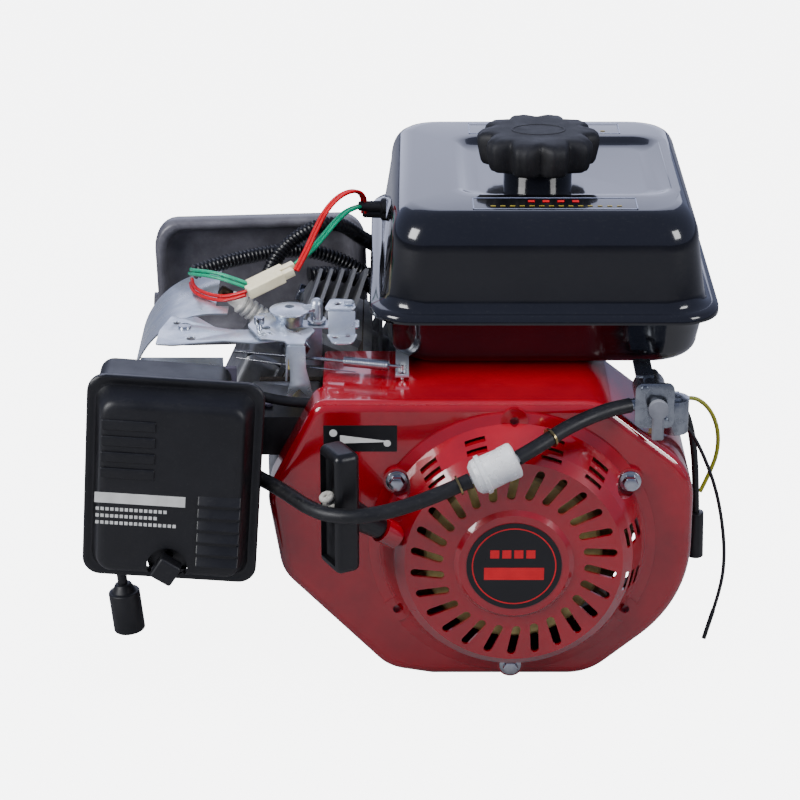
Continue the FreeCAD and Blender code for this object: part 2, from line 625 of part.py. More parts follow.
def throttle_shaft():
    shaft = rod((CARB_X, -66, CARB_Z - 10.8), (CARB_X, -66, 213), 3)
    plate = rod((CARB_X, -66.6, CARB_Z), (CARB_X, -65.4, CARB_Z), 8.4)
    lever = box(CARB_X - 5, CARB_X + 5, -96, -60, 211.5, 213.5, 3, V(0, 0, 1))
    lever = lever.cut(rod((CARB_X, -90.1, 210), (CARB_X, -90.1, 215), 3.2))
    return join([shaft, plate, lever])


def choke_lever():
    pin = rod((-166, -100, 186.2), (-166, -100, 188.6), 2.5)
    arm = box(-196, -163, -102, -98, 186.8, 188.6)
    tab = box(-199, -187, -102, -98, 186.8, 215)
    return join([pin, arm, tab])


def cleaner_tilt(solid):
    return about_y(solid, CLEANER_TILT, CLEANER_X, CLEANER_Z)


def air_cover():
    w, t = CLEANER_SIZE
    x0, x1 = CLEANER_X - w / 2, CLEANER_X + w / 2
    z0, z1 = CLEANER_Z - t / 2, CLEANER_Z + t / 2
    rim = box(x0, x1, -164, -156, z0, z1, 12, V(0, 1, 0))
    dome = box(x0 + 6, x1 - 6, -178, -150, z0 + 6, z1 - 6, 8)
    dome = dome.common(box(x0, x1, -178, -156, z0, z1))
    cover = join([rim, dome])
    inner = box(x0 + 8.5, x1 - 8.5, -175.5, -150, z0 + 8.5, z1 - 8.5, 7)
    cover = cover.cut([inner, rod((CLEANER_X, -180, z0 + 14), (CLEANER_X, -150, z0 + 14), 3.3)])
    return cleaner_tilt(cover)


def air_cleaner_case():
    w, t = CLEANER_SIZE
    x0, x1 = CLEANER_X - w / 2 + 4, CLEANER_X + w / 2 - 24
    z0, z1 = CLEANER_Z - t / 2 + 5, CLEANER_Z + t / 2 - 5
    pan = box(x0, x1, -155.7, -118, z0, z1, 10, V(0, 1, 0))
    pan = pan.cut(box(x0 + 2.5, x1 - 2.5, -160, -120.5, z0 + 2.5, z1 - 2.5, 8, V(0, 1, 0)))
    stud = rod((CLEANER_X, -155.7, z0 + 9), (CLEANER_X, -119, z0 + 9), 3)
    pan = cleaner_tilt(join([pan, stud]))
    duct = box(-214, -131.5, -118.4, -90, 158, 186, 6, V(0, 1, 0))
    bore = join([box(-210, -136, -114, -94, 162, 182), rod((CARB_X, -96, CARB_Z), (CARB_X, -88, CARB_Z), 9),
                 rod((-198, -125, 172), (-198, -110, 172), 9)])
    return join([pan, duct]).cut(bore)


def filter_element():
    w, t = CLEANER_SIZE
    x0, x1 = CLEANER_X - w / 2 + 14, CLEANER_X + w / 2 - 32
    z0, z1 = CLEANER_Z - t / 2 + 30, CLEANER_Z + t / 2 - 14
    return cleaner_tilt(box(x0, x1, -154, -124, z0, z1, 5, V(0, 1, 0)))


def air_knob():
    z = CLEANER_Z - CLEANER_SIZE[1] / 2 + 14
    head = box(CLEANER_X - 8, CLEANER_X + 8, -190, -178.3, z - 8, z + 8, 2)
    head.rotate(V(CLEANER_X, 0, z), V(0, 1, 0), 28)
    shank = rod((CLEANER_X, -180, z), (CLEANER_X, -158, z), 3)
    return cleaner_tilt(join([head, shank]))


# Exhaust
def muffler():
    outer = box(-253, -102, 78, 140, 160, 255, 14, V(0, 1, 0))
    seam = box(-256, -100.5, 106, 110, 158, 257.5, 15, V(0, 1, 0))
    inner = box(-251.5, -103.5, 79.5, 138.5, 161.5, 253.5, 12, V(0, 1, 0))
    outlet = rod((-240, 120, 175), (-262, 120, 175), 9)
    body = join([outer, seam, outlet]).cut([inner, rod((-235, 120, 175), (-270, 120, 175), 7.5)])
    return body.cut(rod((CARB_X, 70, CARB_Z), (CARB_X, 90, CARB_Z), 10))


def exhaust_pipe():
    x, z = CARB_X, CARB_Z
    flange = box(x - 22, x + 22, 52, 58, z - 14, z + 14, 5, V(0, 1, 0))
    pipe = rod((x, 52, z), (x, 78, z), 13)
    nuts = [hexagon((x + d, 58, z), (x + d, 65, z), 10) for d in (-18, 18)]
    return join([flange, pipe] + nuts).cut(rod((x, 50, z), (x, 80, z), 10))


def heat_shield():
    arc = ring((-205, -44, 172), (-205, 40, 172), 60, 58.8)
    keep = box(-268, -205, -50, 50, 186, 240)
    tab = box(-206, -196, -44, -30, 230.8, 232)
    return join([arc.common(keep), tab])


# Fuel system
def tank_half(x0, x1, y0, y1, z_flange, z_end, side, front, rear, corner):
    # lofted between a large rounded rectangle at the flange and a smaller one at the end
    wires = []
    rise = z_end - z_flange
    levels = ((0.0, 0.0), (0.55, 0.25), (0.82, 0.6), (1.0, 1.0))
    for up, pull_in in levels:
        z = z_flange + up * rise
        face = box(x0 + side * pull_in, x1 - side * pull_in, y0 + front * pull_in, y1 - rear * pull_in,
                   0, 1, corner, V(0, 0, 1))
        bottom = [f for f in face.Faces if abs(f.CenterOfMass.z) < 1e-6][0]
        wire = bottom.OuterWire.copy()
        wire.translate(V(0, 0, z))
        wires.append(wire)
    return Part.makeLoft(wires, True, True)


def fuel_tank_upper():
    x0, x1 = TANK_X[0] + 10, TANK_X[1] - 10
    y0, y1 = TANK_Y[0] + 6, TANK_Y[1] - 9
    z = TANK_FLANGE_Z
    outer = tank_half(x0, x1, y0, y1, z, TANK_TOP, 9, 6, 34, 30)
    inner = tank_half(x0 + 1.5, x1 - 1.5, y0 + 1.5, y1 - 1.5, z - 1, TANK_TOP - 1.5, 9, 6, 34, 29)
    flange = box(*TANK_X, *TANK_Y, z, z + 1.6, 34, V(0, 0, 1))
    neck = ring((CAP_X, CAP_Y, TANK_TOP - 12), (CAP_X, CAP_Y, TANK_TOP + 6), 24, 20)
    return join([join([outer, flange]).cut(inner), neck]).cut(
        rod((CAP_X, CAP_Y, TANK_TOP - 20), (CAP_X, CAP_Y, TANK_TOP + 20), 20))


def fuel_tank_lower():
    x0, x1 = TANK_X[0] + 10, TANK_X[1] - 10
    y0, y1 = TANK_Y[0] + 8, TANK_Y[1] - 9
    z = TANK_FLANGE_Z
    outer = tank_half(x0, x1, y0, y1, z, TANK_BOTTOM, 26, 22, 40, 30)
    inner = tank_half(x0 + 1.5, x1 - 1.5, y0 + 1.5, y1 - 1.5, z + 1, TANK_BOTTOM + 1.5, 26, 22, 40, 29)
    flange = box(*TANK_X, *TANK_Y, z - 1.6, z, 34, V(0, 0, 1))
    return join([outer, flange]).cut(inner)


def fuel_cap():
    top = rod((CAP_X, CAP_Y, 334), (CAP_X, CAP_Y, 351), 36)
    lobes = [rod((CAP_X + 37 * math.cos(a), CAP_Y + 37 * math.sin(a), 334),
                 (CAP_X + 37 * math.cos(a), CAP_Y + 37 * math.sin(a), 350), 6)
             for a in [2 * math.pi * i / 10 for i in range(10)]]
    skirt = ring((CAP_X, CAP_Y, 327), (CAP_X, CAP_Y, 336), 33, 24 + 0.4)
    body = join([top, skirt] + lobes)
    gasket = ring((CAP_X, CAP_Y, TANK_TOP + 6.3), (CAP_X, CAP_Y, 334), 24, 20)
    return [body, gasket]


COCK = (92.0, -132.0, 207.0)
LEVER_PIVOT = (95.0, 207.0)


def fuel_cock():
    x, y, z = COCK
    body = rod((x, -146, z), (x, -112, z), 11)
    inlet = rod((x + 4, -112, z + 2), (x + 4, -98, z + 2), 4)
    nipple = join([rod((x - 18, y - 13.5, z - 1), (x, y - 5.5, z - 1), 2.9),
                   rod((x - 15, y - 12.2, z - 1), (x - 6, y - 8, z - 1), 4.2)])
    cup = rod((x + 17, -124, z - 28), (x + 17, -124, z - 4), 9.5)
    bridge = box(x + 6, x + 20, -130, -118, z - 10, z - 2)
    plate = box(x - 12, x + 14, -148, -146, z - 16, z + 16, 5, V(0, 1, 0))
    screws = [rod((x - 6, -150, z + 12), (x - 6, -148, z + 12), 2.6),
              rod((x + 8, -150, z - 11), (x + 8, -148, z - 11), 2.6)]
    stay = box(x - 10, x + 2, -124, -95, z + 10, z + 12)
    return join([body, inlet, nipple, cup, bridge, plate, stay] + screws).cut(
        rod((LEVER_PIVOT[0], -150, LEVER_PIVOT[1]), (LEVER_PIVOT[0], -140, LEVER_PIVOT[1]), 4 + FIT))


def cock_lever():
    x, z = LEVER_PIVOT
    hub = rod((x, -152.5, z), (x, -141, z), 4)
    collar = rod((x, -156, z), (x, -151.5, z), 6.5)
    arm = box(x - 4, x + 4, -156, -152.5, z - 22, z, 1.5)
    return join([hub, collar, arm])


HOSE_TANK = [(76.8, -144.3, 206), (63, -150.4, 205.6), (47, -159, 203), (31, -169, 199),
             (15, -181.6, 193.5), (0.9, -188.1, 187.5)]
FILTER = ((0.0, -188.4, 187.0), (-29, -193.6, 174.6))
HOSE_CARB = [(-30, -193.8, 174.2), (-45, -197.2, 168.4), (-63, -203, 163), (-84, -210, 159),
             (-106, -213.5, 156.8),
             (-125, -207, 155.8), (-139, -192, 155.4), (-150, -174, 154.8), (-161, -157.5, 153.8), (-171.5,
                                                                                                    -143, 152.6),
             (-179.5, -128.5, 151.8), (-184, -113, 151.2), (-185.5, -98, 151)]


def fuel_filter():
    a, b = V(*FILTER[0]), V(*FILTER[1])
    d = (b - a).normalize()
    body = rod(tuple(a), tuple(b), 12)
    rim = rod(tuple(a + d * 12), tuple(a + d * 15), 13.2)
    tip_a = rod(tuple(a - d * 5), tuple(a + d), 2.6)
    tip_b = rod(tuple(b - d), tuple(b + d * 5), 2.6)
    return join([body, rim, tip_a, tip_b])


# Throttle control and governor
def control_base():
    plate = box(-238, -118, -98, -52, 227, 228.6, 8, V(0, 0, 1))
    plate = plate.cut([box(-190, -168, -62, -50, 226, 230), box(-240, -200, -100, -84, 226, 230),
                       rod((-212, -70, 226), (-212, -70, 230), 3.5), rod((-130, -82, 226), (-130, -82, 230),
                                                                         3)])
    leg = box(-156, -132, -52, -50, 196, 228.6)
    foot = box(-156, -132, -50.5, -48, 206, 216)
    riser = box(-120, -116, -84, -62, 228, 262)
    riser.rotate(V(-118, 0, 228), V(0, 1, 0), 24)
    pin = rod((-152, -60, 228), (-152, -60, 244), 3)
    return join([plate, leg, foot, riser, pin])


def control_lever():
    disc = ring((-152, -60, 230.6), (-152, -60, 233), 14, 3 + FIT)
    arm = box(-153, -138, -104, -60, 230.6, 232.4)
    arm = arm.cut(rod((-152, -60, 229), (-152, -60, 234), 5))
    leaf = box(-153, -138, -104, -102.4, 196, 232.4)
    wings = []
    for side, x in ((1, -138.5), (-1, -152.5)):
        wing = box(min(x, x + side * 8), max(x, x + side * 8), -104, -102.4, 190, 206)
        wing.rotate(V(x, -103.2, 0), V(0, 0, 1), side * 35)
        wings.append(wing)
    clamp = rod((-134, -52, 232), (-134, -52, 246), 4.5)
    side_arm = box(-152, -130, -56, -48, 230.6, 232.4).cut(rod((-152, -60, 229), (-152, -60, 234), 5))
    return join([disc, arm, leaf, clamp, side_arm] + wings)


def control_screws():
    nut = hexagon((-152, -60, 233.4), (-152, -60, 239), 10).cut(rod((-152, -60, 230), (-152, -60, 241),
                                                                    3 + FIT))
    stop = join([rod((-172, -78, 228.6), (-172, -78, 242), 2), rod((-172, -78, 238), (-172, -78, 243), 3.6),
                 rod((-172, -78, 228.6), (-172, -78, 231), 3.4)])
    plate_screw = rod((-224, -66, 228.6), (-224, -66, 232), 4.5)
    head_screw = hexagon((-144, -57, 211), (-144, -52, 211), 10)
    return [nut, stop, plate_screw, head_screw]


def governor_arm():
    shaft = rod((-58, -50, 150), (-58, -44, 150), 4)
    hub = rod((-58, -56, 150), (-58, -52.4, 150), 7)
    neck = rod((-58, -56, 150), (-58, -49, 150), 4)
    blade = box(-62, -54, -55, -53, 150, 216)
    blade.rotate(V(-58, 0, 150), V(0, 1, 0), -14)
    tab = box(-79, -70, -112, -53.5, 212.5, 214.5).cut(rod((-74.5, -108, 210), (-74.5, -108, 216), 3))
    return join([shaft, hub, neck, blade, tab])


def governor_rod():
    left, right = (-190.0, -80.0, 218.6), (-74.5, -108.0, 218.6)

    def at(t):
        return tuple(left[i] + (right[i] - left[i]) * t for i in range(3))

    wire = rod(left, right, 1.1)
    spring = ring(at(0.66), at(0.92), 3.4, 1.1)
    hook = rod((right[0], right[1], 209.5), (right[0], right[1], 219.6), 1.1)
    throttle_hook = rod((CARB_X, -90.1, 209), (CARB_X, -90.1, 218.6), 1.1)
    return join([wire, spring, hook, throttle_hook])


def oil_dipstick():
    head = rod((60, PTO_FACE + 0.3, 38), (60, PTO_FACE + 12, 38), 13)
    grip = box(56.5, 63.5, PTO_FACE + 11, PTO_FACE + 18, 28, 48, 2)
    thread = rod((60, 48, 38), (60, PTO_FACE + 1, 38), 9)
    stick = rod((60, 22, 38), (60, 49, 38), 2)
    return join([head, grip, thread, stick])


# Loose leads and conduits
CONDUIT_R = 5.5
HT_LEAD = [(-130.5, -110, 195), (-150, -110.5, 196), (-176, -110, 200), (-205, -110.5, 207),
           (-234, -110, 211),
           (-258, -110.5, 200), (-270, -110, 174), (-273, -110.5, 144), (-273.5, -110, 112), (-272, -110.5,
                                                                                              82),
           (-270.5, -110, 60), (-269.6, -110.3, 44.4)]
CONDUIT_LONG = [(-223, 16, 240), (-206, 25, 243), (-187, 35, 244.5), (-166, 44, 245.5), (-145, 50, 244.5),
                (-124, 54, 238), (-103, 57, 225), (-82, 63, 209), (-58, 71, 196), (-30, 84, 190), (-6, 104,
                                                                                                   190),
                (-2, 132, 192), (-24, 150, 195), (-54, 146, 199), (-76, 126, 207), (-86, 104, 220), (-91,
                                                                                                     81, 235),
                (-105, 67, 248), (-115, 57, 260), (-126, 49, 266), (-140, 41, 264), (-153, 34, 258), (-165,
                                                                                                      24, 248.5), (-170, 12, 239)]
CONDUIT_SHORT = [(-141, 12, 240), (-123, 18, 239), (-104, 26, 230), (-84, 31, 214), (-62, 37, 200),
                 (-37, 46, 192)]
RED_LOOP = [(-150, -18, 254.2), (-143.5, -10, 264), (-137, 2, 276), (-129, 14, 289), (-118, 25, 296.5),
            (-107, 34, 296),
            (-102, 42, 286), (-103, 47, 274)]
GREEN_LOOP = [(-150, -8.4, 255.2), (-141, 0, 261), (-132, 9, 269), (-123, 20, 277), (-114, 31, 282.5),
              (-106, 40, 281.5)]
RED_LEFT = [(-183.5, -33.5, 241.6), (-196, -30, 236), (-209, -21, 233.5), (-219, -9, 232.5),
            (-224.5, 3, 232.5), (-225.5, 12.5, 233)]
GREEN_LEFT = [(-183.5, -23.6, 243.4), (-195, -21, 247), (-208, -15, 248.5), (-219, -6, 246.5),
              (-225, 4, 243), (-226, 13, 240.2)]
LOOP_STEP = (2.2, -2.2, 0.3)
LEFT_STEP = (1.0, 1.0, 2.6)

STOP_LEAD = [(100, -108, 190), (112, -104, 182), (124, -104, 168), (134, -106, 148), (142, -108, 126),
             (147, -110, 102), (149.5, -112, 78), (148, -114, 56), (143, -116, 38)]
COIL_LEAD = [(104, -92, 196), (116, -88, 186), (124, -86, 168), (128, -86, 146), (130, -86.6, 122),
             (131, -87, 100)]
EARTH_WIRE = [(112, -80, 180), (124, -76, 184), (137, -74, 176), (145, -74, 160), (146, -75, 142),
              (141, -77, 126),
              (134, -80, 112)]


def pair(name, points, radius, step):
    shifted = [(x + step[0], y + step[1], z + step[2]) for x, y, z in points]
    return [tube(name, points, radius), tube(name + " second", shifted, radius)]


def wire_connectors():
    housings = []
    for shift in (0.0, 9.5):
        body = box(-14, 14, -4.5, 4.5, -4, 4, 1)
        nose = box(12, 22, -3, 3, -2.6, 2.6)
        plug = join([body, nose])
        plug.rotate(V(0, 0, 0), V(0, 1, 0), -18)
        plug.rotate(V(0, 0, 0), V(0, 0, 1), 24)
        plug.translate(V(-170, -27 + shift, 247 + shift * 0.1))
        housings.append(plug)
    return housings


def spark_plug_cap():
    top = (-269, -110.3, 38)
    bottom = (-266, -110.3, 8)
    return join([rod(top, bottom, 11), cone((-269.6, -110.3, 44), (-268.8, -110.3, 37), 5.5, 9)])


def lead_terminals():
    bullet = rod((143, -116, 38), (137, -117.5, 16), 1.6)
    sleeve = rod((131, -87, 100), (132, -87.3, 66), 5.5)
    return [bullet, sleeve]


def clip(point, direction, radius):
    start = V(*point)
    d = V(*direction).normalize()
    return ring(tuple(start - d * 0.7), tuple(start + d * 0.7), radius + 1.7, radius + 0.3)


def hose_clips():
    return [clip((23, -174.5, 196.1), (16, 11, 5.8), 5.0), clip((-37.5, -195.5, 171.3), (-15, -3.4, -5.8),
                                                                5.0)]


def flange_bolts():
    solids = []
    for x, z in COVER_BOLTS:
        solids.append(join([hexagon((x, PTO_FACE, z), (x, PTO_FACE + 5, z), 10),
                            rod((x, 46, z), (x, PTO_FACE + 1, z), 3)]))
    for a in RECOIL_BOLT_ANGLES:
        x = RECOIL_BOLT_R * math.cos(math.radians(a))
        z = SHAFT_HEIGHT + RECOIL_BOLT_R * math.sin(math.radians(a))
        bolt = [hexagon((x, -158.5, z), (x, -153, z), 9), rod((x, -153.2, z), (x, -152, z), 7.5),
                rod((x, -153, z), (x, -142, z), 3)]
        solids.append(join(bolt))
    for x, y in TANK_POSTS:
        solids.append(hexagon((x, y, TANK_BOTTOM + 1.5), (x, y, TANK_BOTTOM + 5), 10))
    for x, y in ((34, -42), (34, 46)):
        solids.append(lean(hexagon((x, y, HEAD_TOP), (x, y, HEAD_TOP + 6), 12)))
    return solids


os.makedirs("parts", exist_ok=True)
front_crank, rear_crank = crankshaft()
cup, nut = starter_cup()
save("crankcase", crankcase())
save("side_cover", side_cover())
save("cylinder_head", cylinder_head())
save("valve_cover", valve_cover())
save("gaskets_and_seals", *gaskets_and_seals())
save("main_bearings", *(bearing(-50, -38) + bearing(48, 60)))
save("crankshaft", front_crank, rear_crank)
save("flywheel", flywheel(front_crank))
save("cooling_fan", cooling_fan())
save("starter_cup", cup, nut)
save("camshaft", camshaft())
save("piston", *piston())
save("connecting_rod", *connecting_rod())
save("valves", *valves())
save("rockers", *rockers())
save("fan_cover", fan_cover())
save("recoil_cover", recoil_cover())
save("starter_pulley", starter_pulley())
save("starter_grip", starter_grip())
save("starter_rope", starter_rope())
save("ignition_coil", ignition_coil())
save("spark_plug", *spark_plug_body().Solids)
save("spark_plug_insulator", spark_plug_ceramic())
save("carburetor", carburetor())
save("throttle_shaft", throttle_shaft())
save("choke_lever", choke_lever())
save("air_cleaner_case", air_cleaner_case())
save("filter_element", filter_element())
save("air_cover", air_cover())
save("air_knob", air_knob())
save("muffler", muffler())
save("exhaust_pipe", exhaust_pipe())
save("heat_shield", heat_shield())
save("fuel_tank_upper", fuel_tank_upper())
save("fuel_tank_lower", fuel_tank_lower())
save("fuel_cap", *fuel_cap())
save("fuel_cock", fuel_cock())
save("cock_lever", cock_lever())
save("fuel_hose_tank_side", tube("tank hose", HOSE_TANK, 5, 3))
save("fuel_hose_carb_side", tube("carb hose", HOSE_CARB, 5, 3))
save("fuel_filter", fuel_filter())
save("hose_clips", *hose_clips())
save("control_base", control_base())
save("control_lever", control_lever())
save("control_screws", *control_screws())
save("governor_arm", governor_arm())
save("governor_rod", governor_rod())
save("oil_dipstick", oil_dipstick())
save("ht_lead", tube("ht lead", HT_LEAD, 3.5))
save("spark_plug_cap", spark_plug_cap())
save("conduit_long", tube("long conduit", CONDUIT_LONG, CONDUIT_R))
save("conduit_short", tube("short conduit", CONDUIT_SHORT, CONDUIT_R))
save("red_wires", *(pair("red loop", RED_LOOP, 1.3, LOOP_STEP) + pair("red left", RED_LEFT, 1.3,
                                                                      LEFT_STEP)))
save("green_wires", *(pair("green loop", GREEN_LOOP, 1.3, LOOP_STEP) + pair("green left", GREEN_LEFT, 1.3,
                                                                            LEFT_STEP)))
save("wire_connectors", *wire_connectors())
save("earth_wire", tube("earth wire", EARTH_WIRE, 1.5))
save("stop_lead", tube("stop lead", STOP_LEAD, 1.3))
save("coil_lead", tube("coil lead", COIL_LEAD, 2.5))
save("lead_terminals", *lead_terminals())
save("flange_bolts", *flange_bolts())
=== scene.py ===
import bpy
import math
from mathutils import Matrix, Vector


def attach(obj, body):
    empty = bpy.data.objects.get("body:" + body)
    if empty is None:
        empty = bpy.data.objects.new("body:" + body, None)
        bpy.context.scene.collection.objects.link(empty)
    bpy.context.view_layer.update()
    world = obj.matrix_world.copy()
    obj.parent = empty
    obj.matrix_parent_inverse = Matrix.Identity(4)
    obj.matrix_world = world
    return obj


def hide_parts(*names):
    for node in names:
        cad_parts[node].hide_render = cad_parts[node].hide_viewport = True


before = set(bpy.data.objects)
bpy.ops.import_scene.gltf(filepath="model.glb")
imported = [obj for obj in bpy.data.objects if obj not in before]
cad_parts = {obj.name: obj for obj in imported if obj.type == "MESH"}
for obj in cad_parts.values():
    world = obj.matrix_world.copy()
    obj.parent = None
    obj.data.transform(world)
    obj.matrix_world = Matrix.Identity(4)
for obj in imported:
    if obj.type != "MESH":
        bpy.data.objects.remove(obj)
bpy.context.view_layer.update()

MM = 0.001
root = "root"


# Cast aluminium crankcase, head, side cover and valve cover.
# Sand and die castings left as cast: dull grey, slightly grainy, with darker oily patches.
def linear(hex_colour):
    channels = [int(hex_colour[i:i + 2], 16) / 255 for i in (1, 3, 5)]
    return [c / 12.92 if c <= 0.04045 else ((c + 0.055) / 1.055) ** 2.4 for c in channels] + [1.0]


def add(tree, kind, settings, inputs):
    # a new node with its settings; an input is a plain value or the output that feeds it
    node = tree.nodes.new(kind)
    for key, value in settings.items():
        setattr(node, key, value)
    for key, value in inputs.items():
        if isinstance(value, bpy.types.NodeSocket):
            tree.links.new(value, node.inputs[key])
        else:
            node.inputs[key].default_value = value
    return node


def surface(name, colour, patch_colour, roughness, metallic=0.0, patch_mm=18.0, grain_mm=0.8,
            grain_depth_mm=0.02, spread=0.08, coat=0.0, dust=0.0, dust_colour="#8d8a84", stretch=(1, 1, 1)):
    # colour drifts between two tones in patches, roughness drifts with it, and a fine grain gives the bump
    made = bpy.data.materials.new(name)
    made.use_nodes = True
    tree = made.node_tree
    shader = tree.nodes["Principled BSDF"]
    place = add(tree, "ShaderNodeTexCoord", {}, {}).outputs["Object"]
    place = add(tree, "ShaderNodeMapping", {}, {"Vector": place, "Scale": stretch}).outputs["Vector"]
    patches = add(tree, "ShaderNodeTexNoise", {}, {"Vector": place, "Scale": 1 / (patch_mm * MM),
                                                   "Detail": 5.0, "Roughness": 0.6}).outputs["Fac"]
    tone = add(tree, "ShaderNodeMapRange", {}, {"Value": patches, "From Min": 0.38, "From Max": 0.66})
    mixed = add(tree, "ShaderNodeMix", {"data_type": "RGBA"}, {
        0: tone.outputs["Result"], 6: linear(colour), 7: linear(patch_colour)}).outputs[2]
    shine = add(tree, "ShaderNodeMapRange", {}, {
        "Value": patches, "From Min": 0.3, "From Max": 0.7,
        "To Min": roughness - spread, "To Max": roughness + spread}).outputs["Result"]
    if dust:
        specks = add(tree, "ShaderNodeTexNoise", {},
                     {"Vector": place, "Scale": 1 / (2.2 * MM), "Detail": 8.0,
                                                      "Roughness": 0.75}).outputs["Fac"]
        amount = add(tree, "ShaderNodeMapRange", {}, {"Value": specks, "From Min": 0.56, "From Max": 0.78,
                                                      "To Min": 0.0, "To Max": dust}).outputs["Result"]
        mixed = add(tree, "ShaderNodeMix", {"data_type": "RGBA"}, {
            0: amount, 6: mixed, 7: linear(dust_colour)}).outputs[2]
        shine = add(tree, "ShaderNodeMath", {"operation": "ADD"}, {0: shine, 1: amount}).outputs[0]
    grain = add(tree, "ShaderNodeTexNoise", {}, {"Vector": place, "Scale": 1 / (grain_mm * MM),
                                                 "Detail": 3.0}).outputs["Fac"]
    bump = add(tree, "ShaderNodeBump", {}, {"Height": grain, "Distance": grain_depth_mm * MM,
                                            "Strength": 1.0})
    tree.links.new(mixed, shader.inputs["Base Color"])
    tree.links.new(shine, shader.inputs["Roughness"])
    tree.links.new(bump.outputs["Normal"], shader.inputs["Normal"])
    shader.inputs["Metallic"].default_value = metallic
    shader.inputs["Coat Weight"].default_value = coat
    shader.inputs["Coat Roughness"].default_value = 0.04
    return made


def clear():
    bpy.ops.object.select_all(action="DESELECT")


def built(name, verts, edges, faces):
    # a mesh from its points, made the active object
    mesh = bpy.data.meshes.new(name)
    mesh.from_pydata(verts, edges, faces)
    made = bpy.data.objects.new(name, mesh)
    bpy.context.collection.objects.link(made)
    clear()
    bpy.context.view_layer.objects.active = made
    made.select_set(True)
    return made


def give_wall(thickness_mm):
    wall = bpy.context.object.modifiers.new("wall", "SOLIDIFY")
    wall.thickness = thickness_mm * MM
    wall.offset = -1
    bpy.ops.object.modifier_apply(modifier=wall.name)


def bitten(piece, cutter):
    # the cutter is taken out of the piece, then thrown away
    clear()
    bpy.context.view_layer.objects.active = piece
    piece.select_set(True)
    cut = piece.modifiers.new("bite", "BOOLEAN")
    cut.operation = "DIFFERENCE"
    cut.object = cutter
    bpy.ops.object.modifier_apply(modifier=cut.name)
    bpy.data.objects.remove(cutter)


def dress(material, *nodes):
    # a CAD part whose shape is right gets its real material
    for name in nodes:
        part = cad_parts[name]
        part.data.materials.clear()
        part.data.materials.append(material)


def keep(name, material, body, replaced=(), angle=35):
    # the active object becomes a finished piece, its place in its mesh
    clear()
    piece = bpy.context.view_layer.objects.active
    piece.select_set(True)
    bpy.ops.object.transform_apply(location=True, rotation=True, scale=True)
    piece.name = name
    piece.data.name = name
    piece.data.materials.clear()
    piece.data.materials.append(material)
    bpy.ops.object.shade_smooth_by_angle(angle=math.radians(angle))
    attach(piece, body)
    if replaced:
        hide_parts(*replaced)
    clear()
    return piece


def softened(node, edge_mm, material, body, steps=2, name=None, angle=32, flat=2.0):
    # the part's own shape with its sharp edges broken, as casting, pressing or moulding leaves them
    clear()
    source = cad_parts[node]
    piece = source.copy()
    piece.data = source.data.copy()
    bpy.context.collection.objects.link(piece)
    piece.parent = None
    piece.matrix_world = Matrix.Identity(4)
    bpy.context.view_layer.objects.active = piece
    piece.select_set(True)
    bpy.ops.object.mode_set(mode="EDIT")
    bpy.ops.mesh.select_all(action="SELECT")
    bpy.ops.mesh.remove_doubles(threshold=0.00001)
    bpy.ops.mesh.dissolve_limited(angle_limit=math.radians(flat))
    bpy.ops.object.mode_set(mode="OBJECT")
    broken = piece.modifiers.new("edges", "BEVEL")
    broken.width = edge_mm * MM
    broken.segments = steps
    broken.limit_method = "ANGLE"
    broken.angle_limit = math.radians(angle)
    broken.harden_normals = False
    bpy.ops.object.modifier_apply(modifier=broken.name)
    return keep(name or node + "_finished", material, body, (node,))


cast_aluminium = surface("cast aluminium, as cast", "#a2a3a5", "#8b8c8f", 0.46, 0.8, 14, 0.9, 0.05,
                         dust=0.25)
die_cast = surface("die-cast aluminium, tumbled", "#a5a6a8", "#8b8c90", 0.38, 0.92, 12, 0.6, 0.02,
                   dust=0.15)
dress(cast_aluminium, "crankcase", "side_cover", "cylinder_head", "piston", "connecting_rod")
dress(die_cast, "valve_cover")

# Cooling fins of the head: thin cast blades that lean with the cylinder and come to a point.
FIN = [(0, -22, 219), (0, 34, 219), (7, 27, 232), (10, 16, 240), (12.5, 7, 245.5), (10.5, 1, 241),
       (6, -12, 231)]
for i, base_x in enumerate((-143, -135.5, -127.5, -119, -110.5)):
    outline = [((base_x + x) * MM, y * MM, z * MM) for x, y, z in FIN]
    built("fin", outline, [], [tuple(range(len(outline)))])
    give_wall(2.4)
    keep("head_fin_%d" % i, cast_aluminium, root)

# Shafts, gears, bearings and valve gear inside the case.
# Turned, ground or sintered steel with a film of oil.
ground_steel = surface("ground steel, oiled", "#b4b6ba", "#9c9ea3", 0.24, 1.0, 10, 0.35, 0.004, 0.05)
grey_iron = surface("cast iron, machined", "#6d6f71", "#5c5e60", 0.4, 0.95, 9, 0.6, 0.02)
dress(ground_steel, "main_bearings", "crankshaft", "valves", "rockers")
dress(grey_iron, "flywheel", "camshaft")
dress(surface("pressed fibre gasket", "#3c352f", "#2c2723", 0.85, 0.0, 6, 0.5, 0.03), "gaskets_and_seals")

# Cooling fan and starter cup behind the slots of the recoil cover.
# Khaki moulded fan and yellow zinc-plated pressing: a dull greenish gold.
yellow_zinc = surface("yellow zinc plate", "#d2c47e", "#b5a767", 0.45, 0.3, 9, 0.7, 0.01, dust=0.2)
khaki_nylon = surface("khaki moulded nylon", "#c2b672", "#a89c60", 0.55, 0.0, 12, 0.9, 0.02)
dress(khaki_nylon, "cooling_fan")
dress(yellow_zinc, "starter_cup", "starter_pulley")

# Black potted ignition coil and foam filter element.
black_nylon = surface("black glass-filled nylon, moulded", "#0c0c0e", "#141416", 0.46, 0.0, 16, 0.5, 0.02)
dress(black_nylon, "ignition_coil", "oil_dipstick")
dress(surface("open-cell filter foam", "#3a3a36", "#26261f", 0.95, 0.0, 5, 1.6, 0.7), "filter_element")

